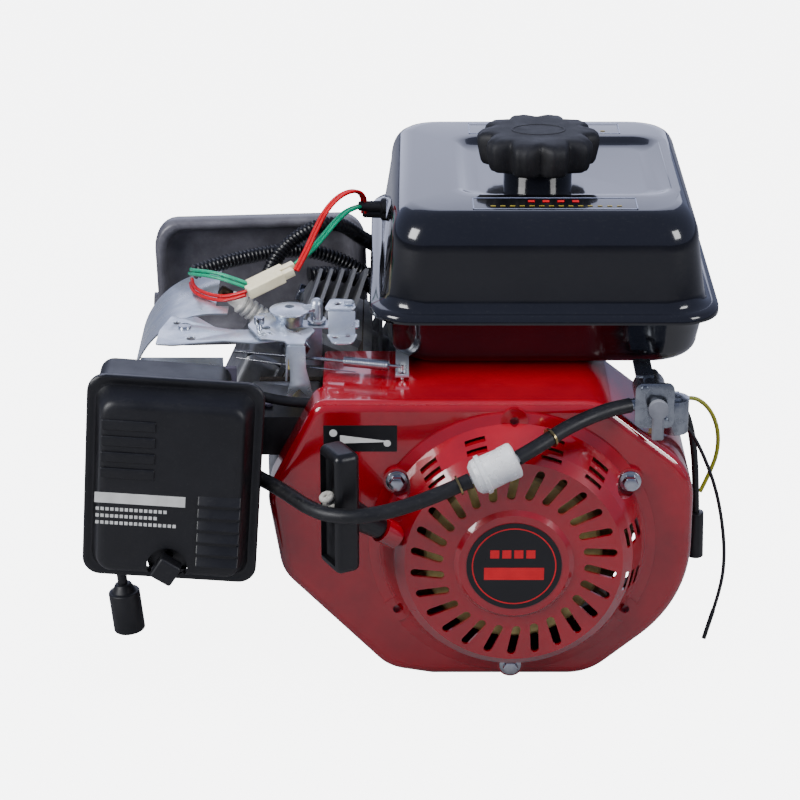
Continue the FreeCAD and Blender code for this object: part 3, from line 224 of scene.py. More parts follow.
# Fan cover: 2 mm pressed steel in deep gloss red enamel, with a slight orange peel.
red_enamel = surface("gloss red enamel on steel", "#8e0012", "#7c000f", 0.2, 0.0, 40, 5.0, 0.012, 0.04,
                     coat=1.0)
dress(red_enamel, "fan_cover")

# Recoil starter cover: pressed steel dome in the same enamel, slotted for cooling air.
dress(red_enamel, "recoil_cover")

# Fuel tank: two pressed half shells in gloss black enamel, joined at a folded flange.
# The upper shell has a rounded shoulder and a shallow dish round the filler.
black_enamel = surface("gloss black enamel on steel", "#050507", "#08080b", 0.14, 0.0, 45, 6.0, 0.012, 0.04,
                       coat=0.8, dust=0.04)


def level_to(last, wanted):
    # the selected outline is scaled and moved from one rectangle and height to the next
    x0, x1, y0, y1, z = last
    a0, a1, b0, b1, h = wanted
    centre = Vector(((x0 + x1) / 2, (y0 + y1) / 2, z)) * MM
    bpy.ops.transform.resize(value=((a1 - a0) / (x1 - x0), (b1 - b0) / (y1 - y0), 1),
                             center_override=centre)
    shift = Vector(((a0 + a1) / 2, (b0 + b1) / 2, h)) * MM - centre
    bpy.ops.transform.translate(value=shift)


def pressed_pan(levels, corner, open_bottom, steps=9):
    # a rounded rectangle is extruded through a list of (x0, x1, y0, y1, z)
    clear()
    x0, x1, y0, y1, z = levels[0]
    bpy.ops.mesh.primitive_plane_add(size=1, location=(0, 0, 0))
    pan = bpy.context.object
    pan.scale = ((x1 - x0) * MM, (y1 - y0) * MM, 1)
    pan.location = Vector(((x0 + x1) / 2, (y0 + y1) / 2, z)) * MM
    bpy.ops.object.transform_apply(location=True, rotation=True, scale=True)
    bpy.ops.object.mode_set(mode="EDIT")
    bpy.ops.mesh.select_all(action="SELECT")
    bpy.ops.mesh.bevel(offset=corner * MM, offset_type="OFFSET", affect="VERTICES", segments=steps)
    for last, wanted in zip(levels, levels[1:]):
        bpy.ops.mesh.extrude_region_move()
        level_to(last, wanted)
    bpy.ops.mesh.select_all(action="SELECT")
    bpy.ops.mesh.normals_make_consistent(inside=False)
    bpy.ops.mesh.select_all(action="DESELECT")
    bpy.ops.object.mode_set(mode="OBJECT")
    if open_bottom:
        floor = min(pan.data.polygons, key=lambda f: abs(f.center.z - z * MM) + (len(f.vertices) < 8))
        floor.select = True
        bpy.ops.object.mode_set(mode="EDIT")
        bpy.ops.mesh.delete(type="FACE")
        bpy.ops.object.mode_set(mode="OBJECT")
    return pan


FLANGE = (-97.0, 141.5, -102.0, 162.0)


def inside_flange(side, front, rear, z):
    return (FLANGE[0] + side, FLANGE[1] - side, FLANGE[2] + front, FLANGE[3] - rear, z)


shoulder = [(0.0, 0.0, 0.0, 246.2), (0.0, 0.0, 0.0, 250.6), (1.2, 1.2, 1.2, 252.2), (4.5, 3.2, 5.0, 252.8),
            (7.4, 4.8, 7.5, 254.0), (9.0, 5.8, 9.4, 256.6), (10.0, 6.4, 11.0, 262.0),
            (12.4, 7.6, 17.0, 278.0),
            (14.6, 8.8, 23.0, 294.0)]
for step in range(1, 9):
    turn = math.radians(90 * step / 8)
    shoulder.append((14.6 + 16 * (1 - math.cos(turn)), 8.8 + 16 * (1 - math.cos(turn)),
                     23.0 + 24 * (1 - math.cos(turn)), 294.0 + 26 * math.sin(turn)))
upper_levels = [inside_flange(*row) for row in shoulder]
top = upper_levels[-1]
dish = (-34.0, 108.0, -44.0, 80.0)
for grow, z in ((8.0, 320.2), (3.5, 320.3), (0.5, 319.7), (-2.5, 317.6), (-6.5, 316.0), (-12.0, 315.6)):
    upper_levels.append((dish[0] - grow, dish[1] + grow, dish[2] - grow, dish[3] + grow, z))


pressed_pan(upper_levels, 30, True)
give_wall(1.0)
keep("tank_upper_shell", black_enamel, root, ("fuel_tank_upper",), 60)

belly = [(1.4, 1.4, 1.4, 250.2), (1.4, 1.4, 1.4, 248.6), (3.5, 3.5, 3.5, 247.6), (8.0, 7.0, 8.0, 246.6),
         (10.0, 8.4, 9.6, 243.0), (10.8, 9.4, 10.8, 236.0), (13.0, 12.0, 14.0, 224.0)]
for step in range(1, 8):
    turn = math.radians(90 * step / 7)
    belly.append((13.0 + 13 * (1 - math.cos(turn)), 12.0 + 13 * (1 - math.cos(turn)),
                  14.0 + 16 * (1 - math.cos(turn)), 224.0 - 12.8 * math.sin(turn)))
pressed_pan([inside_flange(*row) for row in belly], 32, True)
give_wall(1.0)
keep("tank_lower_shell", black_enamel, root, ("fuel_tank_lower",), 60)

# Filler neck: a short pressed tube seamed to the dish, under the cap.
clear()
bpy.ops.mesh.primitive_cylinder_add(vertices=64, radius=0.024, depth=0.014, location=(0.020, 0.002, 0.3215),
                                    end_fill_type="NOTHING")
give_wall(2.0)
keep("filler_neck", black_enamel, root)

# Fuel cap: matte black moulding with ten finger lobes and a plain raised oval on its top.
cap_plastic = surface("black polypropylene, spark-eroded texture", "#0e0e10", "#151518", 0.6, 0.0, 14, 0.7,
                      0.06,
                      dust=0.08)
CAP = Vector((0.020, 0.002, 0.0))

def lathe(profile, centre, steps=96, axis=(0, 0, 1), lobes=None):
    # a profile of (radius, height) in mm spun about an axis through centre
    points = [Vector((r * MM, 0, h * MM)) for r, h in profile]
    spun = built("spun", points, [(i, i + 1) for i in range(len(points) - 1)], [])
    bpy.ops.object.mode_set(mode="EDIT")
    bpy.ops.mesh.select_all(action="SELECT")
    bpy.ops.mesh.spin(steps=steps, angle=2 * math.pi, center=(0, 0, 0), axis=(0, 0, 1))
    bpy.ops.mesh.select_all(action="SELECT")
    bpy.ops.mesh.remove_doubles(threshold=0.00002)
    bpy.ops.mesh.normals_make_consistent(inside=False)
    bpy.ops.object.mode_set(mode="OBJECT")
    if lobes:
        for v in spun.data.vertices:
            radius = math.hypot(v.co.x, v.co.y)
            if radius > lobes[1] * MM:
                wave = math.cos(lobes[0] * math.atan2(v.co.y, v.co.x))
                swell = lobes[2] * MM * (wave - 0.6 * wave ** 4) * (radius / MM - lobes[1]) / 12
                v.co.x += v.co.x / radius * swell
                v.co.y += v.co.y / radius * swell
    spun.rotation_mode = "QUATERNION"
    spun.rotation_quaternion = Vector((0, 0, 1)).rotation_difference(Vector(axis))
    spun.location = centre
    return spun


lathe([(0, 327), (25, 327), (34, 327), (37.2, 327.8), (38.4, 330), (39.4, 335), (40.4, 341), (40.6, 345),
       (39.8, 347.6),
       (37.6, 349.8), (33, 350.9), (27, 351.0), (22, 350.8), (12, 350.8), (0, 350.8)], CAP, 160,
       lobes=(10, 27, 3.2))
keep("fuel_cap_lobed", cap_plastic, "cap", ("fuel_cap",), 50)
clear()
bpy.ops.mesh.primitive_torus_add(major_segments=64, minor_segments=10, major_radius=0.0145,
                                 minor_radius=0.0008,
                                 location=(0.020, 0.002, 0.3507))
bpy.context.object.scale = (1.25, 0.8, 0.6)
keep("fuel_cap_oval", cap_plastic, "cap")

# Air cleaner: moulded cover with a raised panel, long ribs at the upper left and louvres at the lower right.
cleaner_plastic = surface("black polypropylene, fine matte texture", "#09090b", "#0e0e11", 0.4, 0.0, 30,
                          0.6, 0.03,
                          dust=0.06)
dress(cleaner_plastic, "air_cleaner_case")
CLEANER = Vector((-227.5, 0.0, 158.5))
TILT = math.radians(4.0)


def stand_on_cleaner(piece):
    # drawn flat with Z towards the viewer, then stood up against the case and tilted with it
    piece.rotation_euler = (math.radians(90), 0, 0)
    piece.location = CLEANER * MM
    bpy.context.view_layer.objects.active = piece
    clear()
    piece.select_set(True)
    bpy.ops.object.transform_apply(location=True, rotation=True, scale=True)
    piece.data.transform(Matrix.Translation(CLEANER * MM) @ Matrix.Rotation(TILT, 4, "Y")
                         @ Matrix.Translation(-CLEANER * MM))


W, T = 58.6, 73.0


def panel(inset, depth):
    return (-W + inset, W - inset, -T + inset, T - inset, depth)


cover_levels = [panel(0.6, 156.2), panel(0.0, 157.0), panel(0.0, 160.4), panel(0.8, 161.4),
                panel(3.0, 161.6),
                panel(4.6, 160.9), panel(6.2, 161.2), panel(7.4, 163.5), panel(9.4, 170.0),
                panel(10.6, 174.5),
                panel(11.8, 176.6), panel(14.0, 177.8), panel(17.0, 178.0)]
cover = pressed_pan(cover_levels, 12, True, 8)
give_wall(2.0)
stand_on_cleaner(cover)
clear()
bpy.ops.mesh.primitive_cylinder_add(vertices=64, radius=0.0135, depth=0.0134,
                                    location=(-0.2319, -0.1735, 0.1030),
                                    rotation=(math.radians(90), 0, 0))
bitten(cover, bpy.context.object)
keep("air_cleaner_cover", cleaner_plastic, "cleaner_lid", ("air_cover",), 40)


lathe([(0, 0), (13.9, 0), (13.9, 4.6), (13.3, 4.6), (13.3, 0.8), (0, 0.8)],
      Vector((-0.2319, -0.1628, 0.1030)), 64, (0, -1, 0))
keep("cover_notch_floor", cleaner_plastic, "cleaner_lid")


def pillow(x0, x1, z0, z1, low, high, name, material, lean=0.0, segments=5):
    # a raised bar or louvre on the cover, drawn flat in the cover's own frame
    clear()
    bpy.ops.mesh.primitive_cube_add(size=1, location=((x0 + x1) / 2 * MM, (z0 + z1) / 2 * MM,
                                                      (low + high) / 2 * MM))
    bar = bpy.context.object
    bar.scale = ((x1 - x0) * MM, (z1 - z0) * MM, (high - low) * MM)
    bpy.ops.object.transform_apply(location=True, rotation=True, scale=True)
    for v in bar.data.vertices:
        if v.co.z > (low + high) / 2 * MM and v.co.y > (z0 + z1) / 2 * MM:
            v.co.z -= lean * MM
    round_off = bar.modifiers.new("round", "BEVEL")
    round_off.width = min(z1 - z0, high - low, x1 - x0) * 0.42 * MM
    round_off.segments = segments
    bpy.ops.object.modifier_apply(modifier=round_off.name)
    stand_on_cleaner(bar)
    return keep(name, material, "cleaner_lid")


for i in range(4):
    pillow(-47, -11, 42 - 11.5 * i, 49.5 - 11.5 * i, 176.8, 179.2, "cover_rib_%d" % i, cleaner_plastic)
for i in range(6):
    pillow(18, 47, -8 - 9.0 * i, -1.2 - 9.0 * i, 175.0, 181.6, "cover_louvre_%d" % i, cleaner_plastic,
           4.2)

# Air cleaner sticker: a printed foil with a plain pale band and rows of generic bars.
label_black = surface("printed foil, black", "#08080a", "#0b0b0d", 0.35, 0.0, 20, 2.0, 0.004)
label_white = surface("printed foil, white ink", "#cfcfca", "#bdbdb8", 0.45, 0.0, 12, 2.0, 0.004)


def strip(x0, x1, z0, z1, depth, name, material):
    return pillow(x0, x1, z0, z1, depth - 0.12, depth, name, material, 0.0, 1)


strip(-50, 10, -11, -3.4, 178.22, "sticker_band", label_white)
row_lengths = (50, 44, 57)
for i, length in enumerate(row_lengths):
    for j in range(int(length / 3.2)):
        strip(-49 + 3.2 * j, -46.8 + 3.2 * j, -16.6 - 5.0 * i, -14.2 - 5.0 * i, 178.2,
              "sticker_mark_%d_%d" % (i, j),
              label_white)

# Air cleaner knob: a square moulded nut at the bottom of the cover.
softened("air_knob", 1.2, cleaner_plastic, "lid_knob", 3)

# Recoil label: a black printed disc with a thin red ring and generic bars.
label_red = surface("printed foil, red ink", "#c80a18", "#b80814", 0.35, 0.0, 12, 2.0, 0.004)
RECOIL_FACE = Vector((0, -0.1832, 0.106))
lathe([(0, -0.2), (31.4, -0.2), (31.8, 0.1), (31.8, 0.35), (0, 0.35)], RECOIL_FACE, 96, (0, -1, 0))
keep("recoil_label", label_black, root)
lathe([(27.4, 0.34), (28.2, 0.34), (28.2, 0.46), (27.4, 0.46), (27.4, 0.34)], RECOIL_FACE, 96,
      (0, -1, 0))
keep("recoil_label_ring", label_red, root)


def mark(x0, x1, z0, z1, y, name, material, body=root, tilt=0.0, lift=0.12):
    # a printed mark on a face that looks forwards
    clear()
    bpy.ops.mesh.primitive_cube_add(size=1, location=((x0 + x1) / 2 * MM, y * MM, (z0 + z1) / 2 * MM))
    bpy.context.object.scale = ((x1 - x0) * MM, lift * MM, (z1 - z0) * MM)
    bpy.context.object.rotation_euler = (0, tilt, 0)
    return keep(name, material, body)


MARK_Y = -183.58
for i, (x0, x1) in enumerate(((-17, -11), (-9, -3), (-1, 5), (7, 13))):
    mark(x0 + 1, x1 + 1, 112, 118, MARK_Y, "recoil_icon_%d" % i, label_red)
mark(-20, 20, 96, 105, MARK_Y, "recoil_bar", label_red)

# Throttle sticker on the fan cover: black foil with a widening wedge and two plain dots.
mark(-127, -78, 174, 193, -148.1, "speed_sticker", label_black, lift=0.2)
clear()
bpy.ops.mesh.primitive_cube_add(size=1, location=(-0.101, -0.1483, 0.183))
wedge = bpy.context.object
wedge.scale = (0.030, 0.00012, 0.006)
bpy.ops.object.transform_apply(location=True, rotation=True, scale=True)
for v in wedge.data.vertices:
    if v.co.x > -0.101:
        v.co.z = 0.1815 + (v.co.z - 0.183) * 0.15
keep("speed_wedge", label_white, root)
for i, (x, z, r) in enumerate(((-120.5, 187.5, 2.6), (-84.5, 180.0, 2.4))):
    lathe([(0, 0), (r, 0), (r, 0.14), (0, 0.14)], Vector((x, -148.2, z)) * MM, 24, (0, -1, 0))
    keep("speed_dot_%d" % i, label_white, root)

# Tank stickers: clear foil with a thin pale outline and rows of yellow and red dashes.
ink_pale = surface("printed foil, pale line", "#7f86a0", "#767d96", 0.4, 0.0, 12, 2.0, 0.004)
ink_yellow = surface("printed foil, yellow ink", "#8a7a24", "#7c6d20", 0.45, 0.0, 12, 2.0, 0.004)


def tank_mark(x0, x1, y0, y1, z, name, material):
    clear()
    bpy.ops.mesh.primitive_cube_add(size=1, location=((x0 + x1) / 2 * MM, (y0 + y1) / 2 * MM, z * MM))
    bpy.context.object.scale = ((x1 - x0) * MM, (y1 - y0) * MM, 0.00012)
    return keep(name, material, root)


TOP_Z = 320.4


def tank_sticker(prefix, x0, x1, y0, y1):
    tank_mark(x0, x1, y0, y0 + 0.8, TOP_Z, prefix + "_edge_front", ink_pale)
    tank_mark(x0, x1, y1 - 0.8, y1, TOP_Z, prefix + "_edge_back", ink_pale)
    tank_mark(x0, x0 + 0.7, y0, y1, TOP_Z, prefix + "_edge_left", ink_pale)
    tank_mark(x1 - 0.7, x1, y0, y1, TOP_Z, prefix + "_edge_right", ink_pale)
    for i in range(14):
        x = x0 + 12 + (x1 - x0 - 26) * i / 13
        tank_mark(x, x + 3.4, y0 + 5.5, y0 + 7.0, TOP_Z, prefix + "_dash_%d" % i, ink_yellow)
    for i in range(4):
        x = (x0 + x1) / 2 - 18 + 10 * i
        tank_mark(x, x + 4.5, y1 - 9.0, y1 - 5.5, TOP_Z, prefix + "_block_%d" % i, label_red)


tank_sticker("sticker_front", -27, 84, -77, -54)
tank_sticker("sticker_rear", -26, 84, 88, 112)

# Starter grip: a moulded bar with a hollow back, its rope knotted through it.
grip_plastic = surface("black nylon, satin", "#09090b", "#0f0f11", 0.36, 0.0, 22, 0.8, 0.02)
softened("starter_grip", 1.6, grip_plastic, "grip", 3)
rope_white = surface("braided polyester rope", "#b9b6ad", "#9a978e", 0.85, 0.0, 2, 0.6, 0.12)
dress(rope_white, "starter_rope")
for i, (step, turn) in enumerate(((0, 20), (2.6, -35), (5.2, 15))):
    clear()
    bpy.ops.mesh.primitive_torus_add(major_segments=28, minor_segments=12, major_radius=0.0032,
                                     minor_radius=0.0021,
                                     location=Vector((-121.3 - step * 0.5, -192.5, 156.2 + step)) * MM)
    bpy.context.object.rotation_euler = (math.radians(turn), math.radians(-30 + turn), 0)
    keep("rope_knot_%d" % i, rope_white, "grip", (), 60)

# Muffler: two pressed pans of black heat-proof paint, dusty and scuffed from handling.
heat_paint = surface("black heat-proof paint, dusty", "#525157", "#64636a", 0.38, 0.2, 14, 0.7, 0.03,
                     dust=0.35)
MUFFLER = Vector((-178.3, 0.0, 207.5))
back_pan = [(-68, 66, -42, 26, -139.5), (-72, 70, -46, 30, -136), (-75, 74, -48, 38, -118),
            (-77.2, 77.5, -49.2, 45, -96)]
rolled_rim = [(-77.7, 77.8, -49.5, 49.8, -91), (-77.7, 77.8, -49.5, 50.0, -84), (-77, 77, -48.8, 49.3, -80),
              (-75, 75, -46.8, 47.3, -78.4), (-72.5, 72.5, -44.3, 44.8, -78.6),
              (-70.6, 70.6, -42.4, 42.9, -80.4)]
dished_face = [(-69.2, 69.2, -41, 41.5, -85), (-67.5, 67.5, -39.2, 39.5, -90), (-64, 64, -35.5, 36, -93.5),
               (-57, 57, -29, 29, -95.5)]
muffler = pressed_pan(back_pan + rolled_rim + dished_face, 15, False, 7)
muffler.rotation_euler = (math.radians(90), 0, 0)
muffler.location = MUFFLER * MM
bpy.ops.object.transform_apply(location=True, rotation=True, scale=True)
muffler.data.transform(Matrix.Translation(MUFFLER * MM) @ Matrix.Rotation(math.radians(-1.6), 4, "Y")
                       @ Matrix.Translation(-MUFFLER * MM))
keep("muffler_pans", heat_paint, root, ("muffler",), 50)
clear()
bpy.ops.mesh.primitive_cylinder_add(vertices=48, radius=0.009, depth=0.022, location=(-0.251, 0.12, 0.175),
                                    rotation=(0, math.radians(90), 0), end_fill_type="NOTHING")
give_wall(1.2)
keep("muffler_outlet", heat_paint, root)
dress(surface("mild steel pipe, heat tinted", "#5d5348", "#4a423b", 0.42, 0.9, 12, 0.6, 0.02),
      "exhaust_pipe")

# Control plate, control lever, governor arm and heat shield: pressed steel, bright bluish zinc.
# The plate and the lever are cut flat, drilled and bent up.
# A dished washer and a cable clamp sit on the lever.
blue_zinc = surface("bright zinc plate on pressed steel", "#e2e8f0", "#c6cfdd", 0.32, 0.85, 14, 0.5, 0.008,
                    0.09,
                    dust=0.12)


def sheet(outline_mm, at_mm, thick_mm, holes=(), corner_mm=2.0, standing=False):
    # a pressing cut from its outline, corners rounded, drilled as (x, y, radius), edges broken
    outline = [(x * MM, y * MM, at_mm * MM) for x, y in outline_mm]
    blank = built("blank", outline, [], [tuple(range(len(outline)))])
    bpy.ops.object.mode_set(mode="EDIT")
    bpy.ops.mesh.select_all(action="SELECT")
    bpy.ops.mesh.bevel(offset=corner_mm * MM, offset_type="OFFSET", affect="VERTICES", segments=4)
    bpy.ops.object.mode_set(mode="OBJECT")
    give_wall(thick_mm)
    for x, y, r in holes:
        clear()
        bpy.ops.mesh.primitive_cylinder_add(vertices=24, radius=r * MM, depth=0.02,
                                            location=(x * MM, y * MM, at_mm * MM))
        bitten(blank, bpy.context.object)
    broken = blank.modifiers.new("edges", "BEVEL")
    broken.width = 0.3 * MM
    broken.segments = 2
    broken.angle_limit = math.radians(50)
    bpy.ops.object.modifier_apply(modifier=broken.name)
    if standing:
        blank.rotation_euler = (math.radians(90), 0, 0)
    return blank


def strut(x0, x1, y0, y1, z0, z1, name, material, body, lean=(0, 0, 0), edge_mm=0.4):
    # a bent-up leg or tab of a pressing
    clear()
    bpy.ops.mesh.primitive_cube_add(size=1, location=((x0 + x1) / 2 * MM, (y0 + y1) / 2 * MM,
                                                      (z0 + z1) / 2 * MM))
    leg = bpy.context.object
    leg.scale = ((x1 - x0) * MM, (y1 - y0) * MM, (z1 - z0) * MM)
    bpy.ops.object.transform_apply(location=False, rotation=False, scale=True)
    leg.rotation_euler = [math.radians(a) for a in lean]
    broken = leg.modifiers.new("edges", "BEVEL")
    broken.width = edge_mm * MM
    broken.segments = 2
    bpy.ops.object.modifier_apply(modifier=broken.name)
    return keep(name, material, body)


def rivet(points, centre_mm, name, material, body, axis=(0, 0, 1), steps=40):
    # a small turned part: pin, washer, barrel or screw head
    lathe(points, Vector(centre_mm) * MM, steps, axis)
    return keep(name, material, body, (), 40)


strut(-258, -200, -40, -38.8, 150, 197, "heat_shield_apron", blue_zinc, root)

sheet([(-241.9, -96.0), (-241.0, -71.6), (-234.6, -44), (-226, -50), (-217.6, -45.5), (-203, -66),
       (-190, -70.5), (-178, -70), (-160, -66), (-160, -90), (-176, -94), (-195.6, -90.4),
       (-214, -94.5), (-230.1, -98.0)], 229.2, 1.4,
      [(-230, -58, 2.6), (-218.2, -86.5, 3.2)])
keep("control_plate_left", blue_zinc, root, ("control_base",))
strut(-236, -205, -73, -71.6, 227.8, 230.6, "control_plate_fold", blue_zinc, root,
      (0, 0, -7), 0.6)
strut(-156, -130, -52, -50.4, 196, 229, "control_plate_leg", blue_zinc, root)
sheet([(-160, -64), (-160, -50), (-104, -50), (-104, -64)], 228.4, 1.4)
keep("control_plate_bridge", blue_zinc, root)
sheet([(-127, -76.5), (-121.5, -94.6), (-108, -93.8), (-104.5, -76.0)], 230.2, 1.4,
      [(-120.1, -83.5, 2.2), (-111.5, -80.5, 2.2)], 4.0)
keep("control_tab_right", blue_zinc, root)
strut(-125, -106.5, -77.5, -76.0, 228.5, 246, "control_riser_right", blue_zinc, root,
      (-12, 0, 0))
sheet([(-128, -74.5), (-106, -74.5), (-108, -56), (-124, -54)], 247.2, 1.4, [(-118.5, -64, 2.6)], 4.0)
keep("control_step_right", blue_zinc, root)
rivet([(0, 248.6), (3.4, 248.4), (3.6, 249.2), (2.4, 250.2), (0, 250.4)], (-110.8, -66, 0),
      "control_step_screw", blue_zinc, root)

sheet([(-180.6, -70.2), (-173.3, -47), (-158, -47), (-151.5, -60), (-156, -66), (-154, -76), (-147, -84),
       (-137.0, -74), (-134.0, -80), (-139.9, -96), (-140.2, -104.0), (-152.2, -104.0),
       (-153.5, -98.5), (-170.6, -94)], 232.4, 1.4,
      [(-167.5, -75, 2.9), (-164.9, -84, 1.2), (-172.3, -70, 1.2)])
keep("lever_plate", blue_zinc, "speed_lever", ("control_lever",))
sheet([(-152.4, 232.2), (-140.0, 232.2), (-139.6, 215.5), (-137.2, 206), (-134.0, 190.6), (-144.3, 201.0),
       (-154.4, 190.6), (-150.6, 206), (-150.4, 214)], 103.6, 1.4, (), 0.8, True)
keep("lever_fork", blue_zinc, "speed_lever")
strut(-153.2, -151.8, -103.6, -97.5, 206, 231.6, "lever_flange_left", blue_zinc, "speed_lever",
      (0, 3, 0))
rivet([(4.5, 231), (9, 231), (9.6, 235), (12.4, 239.8), (13.8, 240.6), (13.8, 241.6), (12.0, 242.0),
       (8, 243.4), (3.4, 243.6), (3.4, 240)], (-152, -60, 0),
      "lever_dished_washer", blue_zinc, "speed_lever", steps=64)
rivet([(0, 231), (6.4, 231), (6.4, 232.6), (4.4, 233), (4.4, 244), (3.6, 246.4), (2.0, 247.8), (0, 248.2)],
      (-133.5, -56, 0), "cable_clamp_barrel", blue_zinc, "speed_lever")
rivet([(0, 0), (2.6, 0), (3.2, 0.8), (3.2, 9), (2.4, 10), (0, 10)], (-134, -57, 241), "cable_clamp_screw",
      blue_zinc, "speed_lever", (-1, -0.25, 0))
softened("governor_arm", 0.3, blue_zinc, "governor")
dress(blue_zinc, "heat_shield")
bright_screw = surface("zinc-plated machine screw", "#c3c6cc", "#a4a8b0", 0.22, 1.0, 8, 0.4, 0.006)
softened("control_screws", 0.6, bright_screw, root)
softened("flange_bolts", 0.5, bright_screw, root)

# Governor rod with its coil spring, throttle lever and choke lever.
dress(ground_steel, "governor_rod")
dress(yellow_zinc, "throttle_shaft")
choke_plastic = surface("dark violet-grey nylon", "#4a4756", "#3e3b48", 0.5, 0.0, 10, 0.6, 0.02)
softened("choke_lever", 0.5, choke_plastic, "choke")
softened("carburetor", 0.8, die_cast, root)

# Fuel cock: dark plated die casting with a zinc face plate, a grey lever and a sediment cup.
cock_metal = surface("die casting, dark nickel plate", "#a3a8ae", "#83888f", 0.25, 1.0, 8, 0.5, 0.01)
softened("fuel_cock", 0.8, cock_metal, root)
softened("cock_lever", 0.8, surface("grey acetal lever", "#77797f", "#686a70", 0.4, 0.0, 8, 0.5, 0.01),
         "cock")

# Fuel hoses: black nitrile rubber, extruded, faintly dusty.
hose_rubber = surface("extruded nitrile rubber", "#0a0a0b", "#121214", 0.46, 0.0, 10, 0.8, 0.02, dust=0.18)
dress(hose_rubber, "fuel_hose_tank_side", "fuel_hose_carb_side")

# In-line fuel filter: translucent white nylon capsule with a stepped collar.
filter_nylon = surface("translucent white nylon", "#f6f8fa", "#eef1f4", 0.28, 0.0, 10, 1.0, 0.01)
filter_shader = filter_nylon.node_tree.nodes["Principled BSDF"]
filter_shader.inputs["Transmission Weight"].default_value = 0.45
filter_shader.inputs["Subsurface Weight"].default_value = 0.4
filter_shader.inputs["Subsurface Radius"].default_value = (0.006, 0.006, 0.006)
FILTER_START = Vector((0.0, -188.4, 187.0)) * MM
filter_line = Vector((-29.0, -5.2, -12.4)).normalized()
lathe([(2.2, -5), (2.9, -5), (2.9, -0.6), (9, -0.4), (11.6, 0.6), (12.3, 2.2), (12.0, 9), (11.6, 10),
       (11.9, 21), (12.2, 22),
       (13.5, 22.4), (13.5, 25.2), (12.4, 25.6), (11.4, 29.2), (8.6, 31.6), (2.9, 32.2), (2.9, 37),
       (2.2, 37)],
      FILTER_START, 72, filter_line)
keep("filter_capsule", filter_nylon, root, ("fuel_filter",), 30)
lathe([(0, 3), (7.6, 3), (7.6, 28), (0, 28)], FILTER_START, 48, filter_line)
keep("filter_paper_core", surface("filter paper", "#f2f0ea", "#e6e3da", 0.85, 0.0, 5, 0.8, 0.03), root)
dress(surface("yellow-chromated spring wire", "#a89768", "#8d7d53", 0.3, 1.0, 5, 0.4, 0.005), "hose_clips")

# Spark plug: glazed white ribbed ceramic over a plated steel body.
plug_seat = Vector((-137.4, -12.0, 189.9))
plug_line = Vector((-62.2, -8.0, 48.9)).normalized()
ceramic = [(0, 30), (6.6, 30), (7.0, 31), (7.0, 38)]
for i in range(6):
    ceramic += [(5.7, 39.4 + 4.4 * i), (5.7, 40.4 + 4.4 * i), (7.4, 41.6 + 4.4 * i), (7.4, 43.0 + 4.4 * i)]
ceramic += [(5.4, 66.6), (5.0, 72.5), (4.2, 74.2), (0, 74.2)]
lathe(ceramic, plug_seat * MM, 48, plug_line)
keep("plug_ceramic", surface("glazed white alumina", "#f0efe8", "#e2e1da", 0.2, 0.0, 9, 0.9, 0.008), root,
     ("spark_plug_insulator",), 40)
lathe([(0, 73.5), (3.6, 73.5), (4.2, 74.5), (4.2, 81), (3.4, 82.5), (0, 82.5)], plug_seat * MM, 32,
      plug_line)
keep("plug_terminal_nut", surface("browned terminal nut", "#4a3a2c", "#33291f", 0.4, 0.9, 5, 0.5, 0.01),
     root)
dress(bright_screw, "spark_plug")

# Loose leads and conduits, each one smooth line. The conduits are corrugated.
ROUTES = {
    "ht_lead": [(-130.5, -114, 194), (-150, -114.5, 195), (-176, -112, 200), (-205, -110.5, 207),
                (-234, -110, 211),
                (-258, -110.5, 200), (-270, -110, 174), (-273, -110.5, 144), (-273.5, -110, 112),
                (-272, -110.5, 86),
                (-270.5, -110, 68), (-269.6, -110.3, 55.4)],
    "conduit_long": [(-223, 16, 240), (-206, 25, 243), (-187, 35, 244.5), (-166, 44, 245.5),
                     (-145, 50, 244.5),
                     (-124, 54, 238), (-103, 57, 225), (-82, 63, 209), (-58, 71, 196), (-30, 84, 190),
                     (-6, 104, 190), (-2, 132, 192), (-24, 150, 195), (-54, 146, 199), (-76, 126, 207),
                     (-86, 104, 220), (-91, 81, 235), (-105, 67, 248), (-115, 57, 260), (-126, 49, 266),
                     (-140, 41, 264), (-153, 34, 258), (-165, 24, 248.5), (-170, 12, 239)],
    "conduit_short": [(-141, 12, 240), (-123, 18, 239), (-104, 26, 230), (-84, 31, 214), (-62, 37, 200),
                      (-37, 46, 192)],
    "red_loop": [(-103, 47, 274), (-102, 42, 286), (-107, 34, 296), (-118, 25, 296.5), (-129, 14, 289),
                 (-137, 2, 276), (-143.5, -10, 264), (-150, -18, 254.2)],
    "green_loop": [(-106, 40, 281.5), (-114, 31, 282.5), (-123, 20, 277), (-132, 9, 269), (-141, 0, 261),
                   (-150, -8.4, 255.2)],
    "red_left": [(-183.5, -33.5, 241.6), (-196, -30, 236), (-209, -21, 233.5), (-219, -9, 232.5),
                 (-224.5, 3, 232.5),
                 (-225.5, 12.5, 233)],
    "green_left": [(-183.5, -23.6, 243.4), (-195, -21, 247), (-208, -15, 248.5), (-219, -6, 246.5),
                   (-225, 4, 243),
                   (-226, 13, 240.2)],
    "stop_lead": [(100, -108, 190), (112, -104, 182), (124, -104, 168), (134, -106, 148), (142, -108, 126),
                  (147, -110, 102), (149.5, -112, 78), (148, -114, 56), (143, -116, 38)],
    "coil_lead": [(104, -92, 196), (116, -88, 186), (124, -86, 168), (128, -86, 146), (130, -86.6, 122),
                  (131, -87, 100)],
    "earth_wire": [(112, -80, 180), (124, -76, 184), (137, -74, 176), (145, -74, 160), (146, -75, 142),
                   (141, -77, 126), (134, -80, 112)],
}


